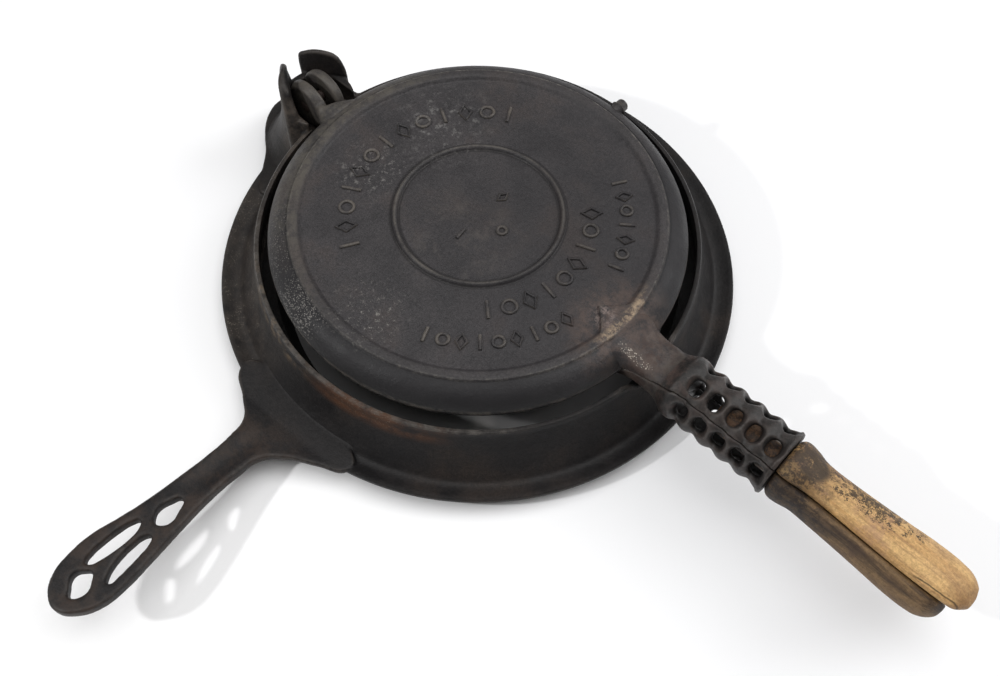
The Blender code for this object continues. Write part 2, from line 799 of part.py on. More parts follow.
def base_ring():
    """Foot ring, shelf, gutter flange, sloping wall and collar, as one turned section."""
    outer = wall_outside()
    foot_inner = swing_radius(TABLE)
    shelf_inner = swing_radius(FLANGE_BOTTOM)
    foot_outer = foot_inner + FOOT_WIDTH
    gutter = FLANGE_TOP - GUTTER_DEPTH
    profile = [
        (COLLAR_RADIUS, COLLAR_TOP),
        (COLLAR_RADIUS + COLLAR_THICKNESS - EDGE_ROUND, COLLAR_TOP),
        *outer,
        ((2 * WALL_FOOT_RADIUS + FLANGE_RADIUS) / 3, gutter),
        (FLANGE_RADIUS - 3 * EDGE_ROUND, gutter + GUTTER_DEPTH / 3),
        (FLANGE_RADIUS - EDGE_ROUND, FLANGE_TOP),
        (FLANGE_RADIUS, FLANGE_TOP - EDGE_ROUND),
        (FLANGE_RADIUS, FLANGE_BOTTOM + EDGE_ROUND),
        (FLANGE_RADIUS - EDGE_ROUND, FLANGE_BOTTOM),
        (foot_outer + EDGE_ROUND, FLANGE_BOTTOM - EDGE_ROUND),
        (foot_outer, TABLE + EDGE_ROUND),
        (foot_outer - EDGE_ROUND, TABLE),
        (foot_inner, TABLE),
        (shelf_inner, FLANGE_BOTTOM),
        (swing_radius(FLANGE_TOP), FLANGE_TOP),
    ]
    for radius, height in reversed(outer[1:-1]):
        profile.append((max(radius - WALL_THICKNESS, COLLAR_RADIUS), height))
    return turned("base ring", profile, BASE_STEPS, closed=True)


def notch():
    """The stem's saddle: round below the axis, and flared into the collar's top edge."""
    radius = STEM_HALF_WIDTH + NOTCH_CLEARANCE
    centre_height = COLLAR_TOP - NOTCH_FILLET
    centre_across = sqrt((radius + NOTCH_FILLET) ** 2 - centre_height ** 2)
    tangent = atan2(centre_height, centre_across)
    half = []
    for step in range(NOTCH_STEPS + 1):
        angle = -pi / 2 + (tangent + pi / 2) * step / NOTCH_STEPS
        half.append((radius * cos(angle), radius * sin(angle)))
    start = tangent + pi
    for step in range(1, NOTCH_STEPS + 1):
        angle = start + (pi / 2 - start) * step / NOTCH_STEPS
        half.append((centre_across + NOTCH_FILLET * cos(angle), centre_height + NOTCH_FILLET * sin(angle)))
    half.append((centre_across, OVERRUN))
    outline = [(-across, up) for across, up in reversed(half[1:])] + half
    start_x = COLLAR_RADIUS - COLLAR_GAP - LAND_WIDTH
    length = FLANGE_RADIUS - start_x
    place = Matrix((
        (0, 0, 1, start_x + length / 2),
        (1, 0, 0, 0),
        (0, 1, 0, 0),
        (0, 0, 0, 1),
    ))
    return flat_shape("stem notch", [outline], length, 0, place, smooth=False)


def ball(name, radius, centre, steps):
    bm = bmesh.new()
    bmesh.ops.create_uvsphere(
        bm, u_segments=steps, v_segments=steps // 2, radius=radius, matrix=Matrix.Translation(centre)
    )
    return shape_from_bmesh(name, bm)


def hinge_seat():
    """A cup under the hinge, open at the top and toward the plates."""
    radius = KNUCKLE_BALL_RADIUS + SEAT_CLEARANCE + SEAT_WALL
    start = Vector((HINGE_X, 0, FLANGE_BOTTOM + 2 * TONGUE_STEP))
    height = COLLAR_TOP - TONGUE_STEP - start.z
    shape = cylinder("hinge seat", radius, start, Vector((0, 0, 1)), height, SEAT_STEPS)
    swing = ball("plates' swing", PEG_SWING + SWING_CLEARANCE, Vector((0, 0, 0)), BASE_STEPS)
    combine(shape, [swing], "DIFFERENCE")
    return shape


def ear_outline(rise):
    """An ear seen from the side: its rear edge stands straight, its front edge dips to the collar."""
    forward_scale = 1 / cos(EAR_FLARE)
    outline = []
    for x, z in EAR_SHARES:
        height = z * EAR_HEIGHT * (rise if z > 0 else 1)
        outline.append((x * EAR_LENGTH * forward_scale, height))
    return outline


def ear(name, side, rise):
    """A thin leaf beside the hinge that leans out toward the plates."""
    distance = KNUCKLE_BALL_RADIUS + SEAT_CLEARANCE + FIT_GAP + EAR_THICKNESS / 2
    direction = Vector((cos(EAR_FLARE), side * sin(EAR_FLARE), 0))
    up = Vector((0, 0, 1))
    foot = Vector((HINGE_X, side * distance / cos(EAR_FLARE), 0))
    turn = Matrix((direction, up, direction.cross(up))).transposed().to_4x4()
    return flat_shape(name, [ear_outline(rise)], EAR_THICKNESS, EAR_BEVEL, Matrix.Translation(foot) @ turn)


def tongue():
    """The flange's tongue under the ears."""
    half = [(-share * TONGUE_REACH, width * TONGUE_HALF_WIDTH) for share, width in TONGUE_SHARES]
    outline = half + [(x, -y) for x, y in reversed(half)]
    place = Matrix.Translation((HINGE_X, 0, (FLANGE_TOP + FLANGE_BOTTOM) / 2))
    return flat_shape("tongue", [outline], FLANGE_THICKNESS - 2 * TONGUE_STEP, 0, place, smooth=False)


def side_handle():
    """A pierced, rising handle, thinner where it runs into the flange."""
    outlines = []
    for shares in [HANDLE_OUTLINE_SHARES] + HANDLE_HOLE_SHARES:
        outlines.append([(FLANGE_RADIUS + s * HANDLE_REACH, w * HANDLE_HALF_WIDTH) for s, w in shares])
    flat = flat_shape("side handle", outlines, HANDLE_THICKNESS, HANDLE_BEVEL, Matrix.Identity(4))
    bm = bmesh.new()
    bm.from_mesh(flat.data)
    for step in range(HANDLE_CUTS):
        place = (FLANGE_RADIUS + (step + 0.5) / HANDLE_CUTS * HANDLE_REACH, 0, 0)
        geometry = bm.verts[:] + bm.edges[:] + bm.faces[:]
        bmesh.ops.bisect_plane(bm, geom=geometry, plane_co=place, plane_no=(1, 0, 0), dist=0.001 * MM)
    root = (FLANGE_TOP + FLANGE_BOTTOM) / 2
    for vertex in bm.verts:
        share = min(max((vertex.co.x - FLANGE_RADIUS) / HANDLE_REACH, 0), 1)
        swell = min(share * 4, 1)
        thickness = HANDLE_ROOT_THICKNESS + (HANDLE_THICKNESS - HANDLE_ROOT_THICKNESS) * swell
        rise = HANDLE_RISE * (1 - (1 - share) ** RISE_EXPONENT)
        vertex.co.z = root + rise + vertex.co.z * thickness / HANDLE_THICKNESS
    bm.to_mesh(flat.data)
    bm.free()
    across = Vector((-sin(HANDLE_TURN), cos(HANDLE_TURN), 0))
    flat.matrix_world = Matrix.Translation(across * -HANDLE_SKEW) @ Matrix.Rotation(HANDLE_TURN, 4, "Z")
    return flat


def base_casting():
    """Ring, tongue, hinge seat, ears and side handle, cast in one piece."""
    shape = base_ring()
    seat_radius = KNUCKLE_BALL_RADIUS + SEAT_CLEARANCE
    hinge = Vector((HINGE_X, 0, 0))
    ears = [ear("left ear", -1, LEFT_EAR_RISE), ear("right ear", 1, 1)]
    combine(shape, [tongue(), hinge_seat(), *ears, side_handle()], "UNION")
    socket = ball("hinge socket", seat_radius, hinge, SEAT_STEPS)
    forward = Vector((1, 0, 0))
    start = hinge + forward * (HINGE_REACH / 4)
    passage = cylinder("neck passage", seat_radius + FIT_GAP, start, forward, HINGE_REACH, SEAT_STEPS)
    combine(shape, [socket, passage, notch()], "DIFFERENCE")
    return settled_mesh(shape, "base casting")


def pivot(name, parent, place):
    empty = bpy.data.objects.new(name, None)
    parts.objects.link(empty)
    empty.parent = parent
    empty.location = place
    return empty


def finished(name, mesh, paint, parent, place=(0, 0, 0), turned_over=False):
    """A finished piece, hung from the empty on its axis."""
    obj = bpy.data.objects.new(name, mesh)
    parts.objects.link(obj)
    obj.parent = parent
    obj.location = place
    if turned_over:
        obj.rotation_euler = (pi, 0, 0)
    mesh.materials.clear()
    mesh.materials.append(paint)
    mesh.shade_smooth()
    mesh.set_sharp_from_angle(angle=radians(32))
    return obj


def centre_on_floor(root):
    """Moves the whole iron so that the middle of its box, at the floor, is the origin."""
    bpy.context.view_layer.update()
    corners = []
    for obj in parts.objects:
        if obj.type == "MESH":
            corners += [obj.matrix_world @ vertex.co for vertex in obj.data.vertices]
    low = Vector([min(corner[axis] for corner in corners) for axis in range(3)])
    high = Vector([max(corner[axis] for corner in corners) for axis in range(3)])
    root.location -= Vector(((low.x + high.x) / 2, (low.y + high.y) / 2, low.z))


def main():
    iron = material("cast_iron", (0.045, 0.040, 0.040), 0.55, 0.85)
    base_iron = material("base_iron", (0.032, 0.029, 0.029), 0.6, 0.8)
    tan_wood = material("tan_wood", (0.50, 0.31, 0.15), 0.6, 0)
    dark_wood = material("dark_wood", (0.075, 0.05, 0.038), 0.7, 0)
    steel = material("steel", (0.30, 0.28, 0.26), 0.45, 1)

    root = pivot("ring_centre", None, (0, 0, AXIS_HEIGHT))
    turn_axis = pivot("turn_axis", root, (0, 0, 0))
    lid_axis = pivot("lid_axis", turn_axis, (HINGE_X, 0, 0))
    on_lid = (-HINGE_X, 0, 0)

    finished("base_stand", base_casting(), base_iron, root)

    casting = plate_casting()
    finished("lower_plate", casting.copy(), iron, turn_axis, turned_over=True)
    upper = construction_object("upper plate and peg", casting)
    combine(upper, [rim_peg()], "UNION")
    finished("upper_plate", settled_mesh(upper, "upper plate"), iron, lid_axis, on_lid)
    finished("hinge_pin", hinge_pin(), steel, turn_axis)

    finished("upper_grip", grip("upper grip", UPPER_GRIP_LENGTH), tan_wood, lid_axis, on_lid)
    finished("lower_grip", grip("lower grip", LOWER_GRIP_LENGTH), dark_wood, turn_axis, turned_over=True)
    finished("upper_grip_screw", grip_screw("upper screw", UPPER_GRIP_LENGTH), steel, lid_axis, on_lid)
    finished("lower_grip_screw", grip_screw("lower screw", LOWER_GRIP_LENGTH), steel, turn_axis, turned_over=True)
    finished("upper_screw_washer", grip_washer("upper washer", UPPER_GRIP_LENGTH), steel, lid_axis, on_lid)
    finished("lower_screw_washer", grip_washer("lower washer", LOWER_GRIP_LENGTH), steel, turn_axis, turned_over=True)

    centre_on_floor(root)


clear_scene()
parts = new_collection("stovetop_waffle_iron")
construction = new_collection("waffle_iron_construction")
main()
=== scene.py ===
"""The looks of the stovetop waffle iron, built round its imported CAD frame.

Shapes are made in the axis frame: the ring's centre on the plates' turning axis is the origin,
+X runs from the hinge to the wooden grips and +Z is up. Each finished piece then moves to the ring.
The lower plate, its cage and its grip are the upper ones turned over about the axis.
"""

import json
from contextlib import contextmanager
from math import atan2, copysign, cos, exp, log, pi, radians, sin, sqrt, tau

import bmesh
import bpy
import numpy as np
from mathutils import Matrix, Vector


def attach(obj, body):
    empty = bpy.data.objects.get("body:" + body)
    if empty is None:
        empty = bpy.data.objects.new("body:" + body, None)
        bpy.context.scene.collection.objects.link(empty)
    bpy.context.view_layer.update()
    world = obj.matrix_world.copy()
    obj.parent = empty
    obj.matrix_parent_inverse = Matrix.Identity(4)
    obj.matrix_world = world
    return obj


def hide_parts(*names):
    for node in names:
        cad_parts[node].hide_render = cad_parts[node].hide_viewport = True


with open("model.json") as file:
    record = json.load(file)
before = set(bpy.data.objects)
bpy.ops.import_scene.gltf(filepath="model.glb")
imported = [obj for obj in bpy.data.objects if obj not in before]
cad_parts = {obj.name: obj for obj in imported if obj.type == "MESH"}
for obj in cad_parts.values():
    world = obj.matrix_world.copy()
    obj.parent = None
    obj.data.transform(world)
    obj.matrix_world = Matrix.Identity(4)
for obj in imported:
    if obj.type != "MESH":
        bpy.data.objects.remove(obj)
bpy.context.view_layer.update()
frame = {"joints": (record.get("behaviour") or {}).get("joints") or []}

MM = 0.001
JOINTS = {joint["name"]: joint for joint in frame["joints"]}
RING = Vector(JOINTS["turn_over"]["pos_m"])
HINGE_X = JOINTS["lid_open"]["pos_m"][0] - RING.x

# The part's own sizes, as its source has them
TABLE = -45 * MM
PARTING = 0.15 * MM
PLATE_RADIUS = 109.6 * MM
PLATE_TOP = 12.5 * MM
CREST_RADIUS = 93 * MM
FIELD_HEIGHT = 10.2 * MM
BEAD_RADIUS = 43.5 * MM
CAVITY_TOP = 7 * MM
CAVITY_RADIUS = 98.5 * MM
CAVITY_MOUTH = 100 * MM
SHOULDER_EXPONENT = 1.7
CAGE_START = 138 * MM
CAGE_END = 194.9 * MM
CAGE_RADIUS = 16.75 * MM
CAGE_WAVE = 1.6 * MM
CAGE_BORE = 12.4 * MM
CAGE_LIP = 17.9 * MM
WINDOW_PITCH = 10.9 * MM
WINDOW_COUNT = 5
WINDOW_ANGLES = [30, 91, 154]
PARTING_ROLL = radians(46)
HALF_ROLL = PARTING_ROLL + pi / 2
STEM_LENGTH = 28.4 * MM
STEM_WIDTH = 12.2 * MM
STEM_HEIGHT = 10 * MM
GRIP_START = 196.9 * MM
GRIP_RADIUS = 16.3 * MM
UPPER_GRIP = 95.5 * MM
LOWER_GRIP = 88.5 * MM
SCREW_OFFSET = 6.4 * MM
COLLAR_RADIUS = 115.2 * MM
COLLAR_THICKNESS = 2.6 * MM
COLLAR_TOP = -4.7 * MM
WALL_SPREAD = 10.8 * MM
FLANGE_RADIUS = 140.2 * MM
FLANGE_TOP = -33 * MM
FLANGE_BOTTOM = -36.5 * MM
BALL_RADIUS = 15.6 * MM
KNUCKLE_RADIUS = 14.2 * MM
HANDLE_REACH = 130.8 * MM
HANDLE_HALF_WIDTH = 15.3 * MM
HANDLE_TURN = radians(-86.2)
HANDLE_SKEW = 15.4 * MM
EAR_FLARE = radians(33.4)

# Sizes of the shapes as drawn here
WALL_THICKNESS = 3.2 * MM
TONGUE_REACH = 40.6 * MM
TONGUE_HALF_WIDTH = 20 * MM
EAR_LENGTH = 22.2 * MM
EAR_HEIGHT = 17 * MM
EAR_THICKNESS = 3.4 * MM
HANDLE_THICKNESS = 6.8 * MM
HANDLE_RISE = 22.5 * MM
VALLEY_DEPTH = 2.1 * MM
FIELD_RADIUS = 90.6 * MM
BEAD_HALF_WIDTH = 1.9 * MM
BEAD_HEIGHT = 2.05 * MM
SHOULDER = 18.75 * MM
STEM_CAP = 17.1 * MM
WINDOW_HALF_LENGTH = 2.95 * MM
WINDOW_HALF_WIDTH = 4.5 * MM
TENON_RADIUS = 7.6 * MM
GRIP_LEAD = 1.5 * MM
BELL_REACH = 24 * MM
SCREW_BORE = 2.3 * MM
COUNTERBORE = 4.3 * MM
HAIR = 0.001 * MM


# Mesh helpers


def link(name, data):
    obj = bpy.data.objects.new(name, data)
    bpy.context.scene.collection.objects.link(obj)
    return obj


def drop(obj):
    mesh = obj.data
    bpy.data.objects.remove(obj)
    bpy.data.meshes.remove(mesh)


@contextmanager
def editing(mesh):
    """The mesh opened for changes, which are written back at the end."""
    bm = bmesh.new()
    bm.from_mesh(mesh)
    yield bm
    bm.to_mesh(mesh)
    bm.free()


def shape(name, points, faces):
    """A closed shape with its faces turned outwards."""
    mesh = bpy.data.meshes.new(name)
    mesh.from_pydata([tuple(point) for point in points], [], faces)
    with editing(mesh) as bm:
        bmesh.ops.recalc_face_normals(bm, faces=bm.faces)
    return link(name, mesh)


def turned(name, profile, steps, place=Matrix.Identity(4)):
    """A section of (radius, height) turned about its own upright axis."""
    points, rows = [], []
    for radius, height in profile:
        start = len(points)
        if radius < HAIR:
            points.append((0, 0, height))
            rows.append([start] * steps)
        else:
            rows.append(list(range(start, start + steps)))
            for step in range(steps):
                angle = tau * step / steps
                points.append((radius * cos(angle), radius * sin(angle), height))
    pole_to_pole = profile[0][0] < HAIR and profile[-1][0] < HAIR
    following = rows[1:] if pole_to_pole else rows[1:] + rows[:1]
    faces = []
    for row, other in zip(rows, following):
        for i in range(steps):
            j = (i + 1) % steps
            corners = list(dict.fromkeys((row[i], row[j], other[j], other[i])))
            if len(corners) > 2:
                faces.append(corners)
    return shape(name, [place @ Vector(point) for point in points], faces)


def along_x(x=0, y=0, z=0):
    """A place for turned pieces whose axis runs along X."""
    return Matrix.Translation((x, y, z)) @ Matrix.Rotation(pi / 2, 4, "Y")


def loft(name, rings):
    """A solid through rings of equally many points, with flat ends."""
    count = len(rings[0])
    points = [point for ring in rings for point in ring]
    faces = []
    for row in range(len(rings) - 1):
        for i in range(count):
            j = (i + 1) % count
            a, b = row * count, (row + 1) * count
            faces.append((a + i, a + j, b + j, b + i))
    faces.append(tuple(range(count)))
    faces.append(tuple(range(len(points) - count, len(points))))
    return shape(name, points, faces)


def inset(profile, depth):
    """A closed section drawn in by a depth, to lie just under another skin."""
    count = len(profile)
    area = sum(profile[i - 1][0] * profile[i][1] - profile[i][0] * profile[i - 1][1] for i in range(count))
    side = -1 if area > 0 else 1
    drawn = []
    for i in range(count):
        before, after = Vector(profile[i - 1]), Vector(profile[(i + 1) % count])
        along = (after - before).normalized()
        radius = profile[i][0] + side * along.y * depth
        drawn.append((max(radius, 0) if profile[i][0] > 0 else 0, profile[i][1] - side * along.x * depth))
    return drawn


def box(name, low, high):
    """A block between its lowest and its highest corner."""
    points = [(x, y, z) for x in (low[0], high[0]) for y in (low[1], high[1]) for z in (low[2], high[2])]
    faces = [(0, 1, 3, 2), (4, 6, 7, 5), (0, 4, 5, 1), (2, 3, 7, 6), (0, 2, 6, 4), (1, 5, 7, 3)]
    return shape(name, points, faces)


def arc(centre, radius, start, end, steps, first=0):
    """Points on an arc, from the first step to the last."""
    points = []
    for step in range(first, steps + 1):
        angle = start + (end - start) * step / steps
        points.append((centre[0] + radius * cos(angle), centre[1] + radius * sin(angle)))
    return points


def clamped(value):
    return min(max(value, 0), 1)


def parting_axes(roll=PARTING_ROLL):
    """One way along the grips' parting, and square to it towards the upper half."""
    return Vector((0, -cos(roll), sin(roll))), Vector((0, sin(roll), cos(roll)))


def settled(obj, name=None):
    """The object as a new plain mesh object, with its modifiers made real."""
    bpy.context.view_layer.update()
    depsgraph = bpy.context.evaluated_depsgraph_get()
    mesh = bpy.data.meshes.new_from_object(obj.evaluated_get(depsgraph), depsgraph=depsgraph)
    mesh.transform(obj.matrix_world)
    return link(name or obj.name, mesh)


def combined(target, others, operation):
    """A Boolean of the target with the others, which are used up."""
    for other in others:
        step = target.modifiers.new("combine", "BOOLEAN")
        step.operation = operation
        step.solver = "EXACT"
        step.object = other
    made = settled(target)
    for obj in [target] + others:
        drop(obj)
    return made


def joined(name, objects):
    """Several shapes as one mesh, their solids still overlapping."""
    mesh = bpy.data.meshes.new(name)
    with editing(mesh) as bm:
        for obj in objects:
            bm.from_mesh(obj.data)
            drop(obj)
    return link(name, mesh)


def sliced(bm, places, normal, tolerance=0):
    """Cuts a mesh along parallel planes, so that it can bend there."""
    for place in places:
        everything = bm.verts[:] + bm.edges[:] + bm.faces[:]
        bmesh.ops.bisect_plane(bm, geom=everything, plane_co=place, plane_no=normal, dist=tolerance)


def cast_in_iron(name, solids, voxel, softening):
    """Overlapping solids as one casting, whose corners are as soft as sand leaves them."""
    rough = joined(name + " solids", solids)
    remesh = rough.modifiers.new("cast", "REMESH")
    remesh.mode = "VOXEL"
    remesh.voxel_size = voxel
    soften = rough.modifiers.new("soften", "SMOOTH")
    soften.factor = 0.5
    soften.iterations = softening
    casting = settled(rough, name)
    drop(rough)
    return casting


def mark_wear(mesh):
    """Notes on each point how far it stands out of its surroundings, or lies in a hollow."""
    count = len(mesh.vertices)
    points = np.empty(count * 3)
    normals = np.empty(count * 3)
    mesh.vertices.foreach_get("co", points)
    mesh.vertices.foreach_get("normal", normals)
    points, normals = points.reshape(-1, 3), normals.reshape(-1, 3)
    edges = np.empty(len(mesh.edges) * 2, np.int64)
    mesh.edges.foreach_get("vertices", edges)
    edges = edges.reshape(-1, 2)
    tails = np.concatenate([edges[:, 0], edges[:, 1]])
    heads = np.concatenate([edges[:, 1], edges[:, 0]])
    degree = np.maximum(np.bincount(tails, minlength=count), 1)

    def around(values):
        return np.bincount(tails, weights=values[heads], minlength=count) / degree

    middle = np.stack([around(points[:, axis]) for axis in range(3)], 1)
    lengths = np.linalg.norm(points[tails] - points[heads], axis=1)
    spacing = np.bincount(tails, weights=lengths, minlength=count) / degree
    bulge = -((middle - points) * normals).sum(1) / np.maximum(spacing, 0.01 * MM) ** 2 * MM
    for _ in range(3):
        bulge = (bulge + around(bulge)) / 2
    for title, values in (("edge_wear", bulge), ("hollow", -bulge)):
        attribute = mesh.attributes.new(title, "FLOAT", "POINT")
        attribute.data.foreach_set("value", np.clip(values / 0.2, 0, 1).astype(np.float32))


def smooth(obj, sharp_over=None):
    obj.data.shade_smooth()
    if sharp_over:
        obj.data.set_sharp_from_angle(angle=radians(sharp_over))
    return obj


def worn(obj, sharp_over=None):
    """The piece with its wear noted and its faces shaded smooth."""
    mark_wear(obj.data)
    return smooth(obj, sharp_over)


# Materials


class Nodes:
    """A small builder for one node tree. Each input is a value or another node's output."""

    def __init__(self, tree):
        self.tree = tree

    def node(self, kind, inputs=None, **settings):
        made = self.tree.nodes.new(kind)
        for key, value in settings.items():
            setattr(made, key, value)
        for socket, value in (inputs or {}).items():
            self.wire(value, made.inputs[socket])
        return made

    def wire(self, value, socket):
        if isinstance(value, bpy.types.NodeSocket):
            self.tree.links.new(value, socket)
        else:
            socket.default_value = value

    def maths(self, operation, first, second=0.0):
        return self.node("ShaderNodeMath", {0: first, 1: second}, operation=operation).outputs[0]

    def times(self, first, *others):
        for other in others:
            first = self.maths("MULTIPLY", first, other)
        return first


class Paint(Nodes):
    """A material under construction, which carries the colour laid so far.

    Its places are in the axis frame. Places, reaches and depths are given in millimetres.
    """

    def __init__(self, name):
        self.material = bpy.data.materials.new(name)
        self.material.use_nodes = True
        super().__init__(self.material.node_tree)
        self.shader = self.tree.nodes["Principled BSDF"]
        self.place = self.node("ShaderNodeTexCoord").outputs["Object"]
        self.centred = self.node("ShaderNodeVectorMath", {0: self.place, 1: RING}, operation="SUBTRACT").outputs[0]
        self.x, self.y, self.z = self.node("ShaderNodeSeparateXYZ", {0: self.centred}).outputs
        self.colour = None

    def stretched(self, along):
        """The place drawn out along X, for grain."""
        return self.node("ShaderNodeMapping", {"Vector": self.place, "Scale": (along, 1, 1)}).outputs[0]

    def noise(self, scale, detail=4, roughness=0.55, place=None, distortion=0):
        return self.node("ShaderNodeTexNoise", {
            "Vector": place or self.place, "Scale": scale, "Detail": detail, "Roughness": roughness,
            "Distortion": distortion,
        }).outputs["Fac"]

    def span(self, value, low, high, out_low=0, out_high=1):
        """The value taken from low..high to out_low..out_high, eased and kept inside."""
        return self.node("ShaderNodeMapRange", {
            "Value": value, "From Min": low, "From Max": high, "To Min": out_low, "To Max": out_high,
        }, interpolation_type="SMOOTHSTEP").outputs["Result"]

    def rise(self, value, low, high, least=0, most=1):
        return self.span(value, low * MM, high * MM, least, most)

    def fall(self, value, low, high, least=0, most=1):
        return self.rise(value, low, high, most, least)

    def strip(self, value, foot, inner, outer, end):
        """1 between inner and outer, with a soft edge at each side."""
        return self.times(self.rise(value, foot, inner), self.fall(value, outer, end))

    def spots(self, scale, detail, roughness, low, high, out_low=0, out_high=1):
        """Patches of noise between two levels."""
        return self.span(self.noise(scale, detail, roughness), low, high, out_low, out_high)

    def most(self, first, *others):
        for other in others:
            first = self.maths("MAXIMUM", first, other)
        return first

    def length(self, first, second):
        return self.maths("SQRT", self.maths("ADD", self.times(first, first), self.times(second, second)))

    def stray(self, scale, detail, roughness, reach):
        """A wavering shift of up to half the reach either way."""
        return self.times(self.maths("SUBTRACT", self.noise(scale, detail, roughness), 0.5), reach * MM)

    def near(self, point, reach, soft):
        """1 close to a point, fading to 0."""
        point = Vector(point) * MM
        distance = self.node("ShaderNodeVectorMath", {0: self.centred, 1: point}, operation="DISTANCE")
        return self.fall(distance.outputs["Value"], reach, reach + soft)

    def mix(self, share, first, second, blend="MIX"):
        made = self.node("ShaderNodeMix", {"Factor": share}, data_type="RGBA", blend_type=blend)
        colours = [socket for socket in made.inputs if socket.type == "RGBA"]
        for value, socket in zip((first, second), colours):
            self.wire((*value, 1) if isinstance(value, tuple) else value, socket)
        return [socket for socket in made.outputs if socket.type == "RGBA"][0]

    def lay(self, tone, *masks):
        """A tone over the colour so far, as strong as all the masks together."""
        self.colour = self.mix(self.times(*masks), self.colour, tone)

    def shade(self, value):
        """The colour so far made darker below 1 and paler above it."""
        self.colour = self.mix(1, self.colour, value, "MULTIPLY")

    def mark(self, title):
        return self.node("ShaderNodeAttribute", attribute_name=title).outputs["Fac"]

    def bump(self, *layers):
        """Layers of (height, depth), the coarsest first."""
        below = {}
        for height, depth in layers:
            inputs = {"Height": height, "Strength": 1, "Distance": depth * MM, **below}
            below = {"Normal": self.node("ShaderNodeBump", inputs).outputs["Normal"]}
        self.wire(below["Normal"], self.shader.inputs["Normal"])

    def finish(self, roughness, metallic=0.0, specular=0.5):
        self.wire(self.colour, self.shader.inputs["Base Color"])
        self.wire(roughness, self.shader.inputs["Roughness"])
        self.shader.inputs["Metallic"].default_value = metallic
        self.shader.inputs["Specular IOR Level"].default_value = specular
        return self.material


def cast_iron(name, dark, pale, tint, bare, rub):
    """Seasoned iron: sooty and faintly grained, with brown stains and rubbed edges."""
    paint = Paint(name)
    paint.cloud = paint.noise(38, 5, 0.62)
    paint.colour = paint.mix(paint.span(paint.cloud, 0.34, 0.68), dark, pale)
    paint.lay(tint, paint.spots(19, 6, 0.66, 0.5, 0.7), 0.6)
    paint.shade(paint.spots(560, 3, 0.7, 0.3, 0.7, 0.84, 1.16))
    paint.shade(paint.spots(1500, 3, 0.8, 0.3, 0.7, 0.62, 1.45))
    paint.rubbed = paint.times(paint.span(paint.mark("edge_wear"), 0.2, 0.85), paint.spots(110, 5, 0.75, 0.36, 0.6))
    paint.lay(bare, paint.rubbed, rub)
    # Darker in the hollows and creases.
    paint.lay((0.004, 0.0035, 0.0035), paint.span(paint.mark("hollow"), 0.15, 0.8), 0.6)
    return paint


def sand_cast(paint, dull, specular):
    """The sand's grain, with a gloss that varies with the cloud and the rubbing."""
    paint.bump((paint.noise(60, 3, 0.5), 0.5), (paint.noise(330, 4, 0.65), 0.3), (paint.noise(1300, 3, 0.6), 0.14))
    uneven = paint.span(paint.cloud, 0.3, 0.75, dull - 0.06, dull + 0.12)
    return paint.finish(paint.maths("SUBTRACT", uneven, paint.times(paint.rubbed, 0.12)), 0.0, specular)


def sparkle(paint, where, density):
    """Bare bright grains, thickest where the mask is strong."""
    cells = paint.node("ShaderNodeTexVoronoi", {"Vector": paint.place, "Scale": 1500})
    grains = paint.span(cells.outputs["Distance"], 0.2, 0.65, 1, 0)
    chance = paint.node("ShaderNodeSeparateXYZ", {0: cells.outputs["Color"]}).outputs[0]
    limit = paint.span(where, 0, 1, 1, 1 - density)
    return paint.times(grains, paint.span(paint.maths("SUBTRACT", chance, limit), 0, 0.6))


def plate_iron():
    paint = cast_iron(
        "plate cast iron", (0.026, 0.0242, 0.0256), (0.0385, 0.0352, 0.0366), (0.042, 0.032, 0.028),
        (0.13, 0.113, 0.095), 0.55,
    )
    radius = paint.length(paint.x, paint.y)
    patches = paint.spots(170, 6, 0.8, 0.4, 0.62, 0.15, 1)
    crest_wear_and_painted_light(paint, radius, patches)
    shoulder_wear_and_painted_light(paint, radius, patches)
    bead_highlight_and_shade(paint, radius)
    field_shade_and_scuffs(paint, radius)
    stem_wear_and_shade(paint, radius, patches)
    return sand_cast(paint, 0.5, 0.28)


def crest_wear_and_painted_light(paint, radius, patches):
    """The flat crest: rubbed bronze, made stronger at the left as painted sheen, and a scratched edge that also carries
    a painted highlight, over a painted shadow line.
    """
    # Painted sheen: the crest's rub is made stronger at the left, the side the light comes from.
    left = paint.span(paint.near((-84, -46, 8), 40, 75), 0, 1, 0.08, 0.5)
    paint.lay((0.08, 0.069, 0.058), paint.strip(radius, 91.8, 93.6, 97.4, 98.4), patches, left)
    # Painted shadow: a dark line just outside the crest's edge.
    paint.lay((0.007, 0.0065, 0.007), paint.strip(radius, 98.1, 98.5, 98.9, 99.6), 0.75)
    # Scratches along the crest's edge, lightened also as a painted highlight.
    scratches = paint.spots(310, 5, 0.85, 0.42, 0.7)
    paint.lay((0.24, 0.22, 0.19), paint.strip(radius, 96.6, 97.4, 98, 98.8), scratches, 0.5)


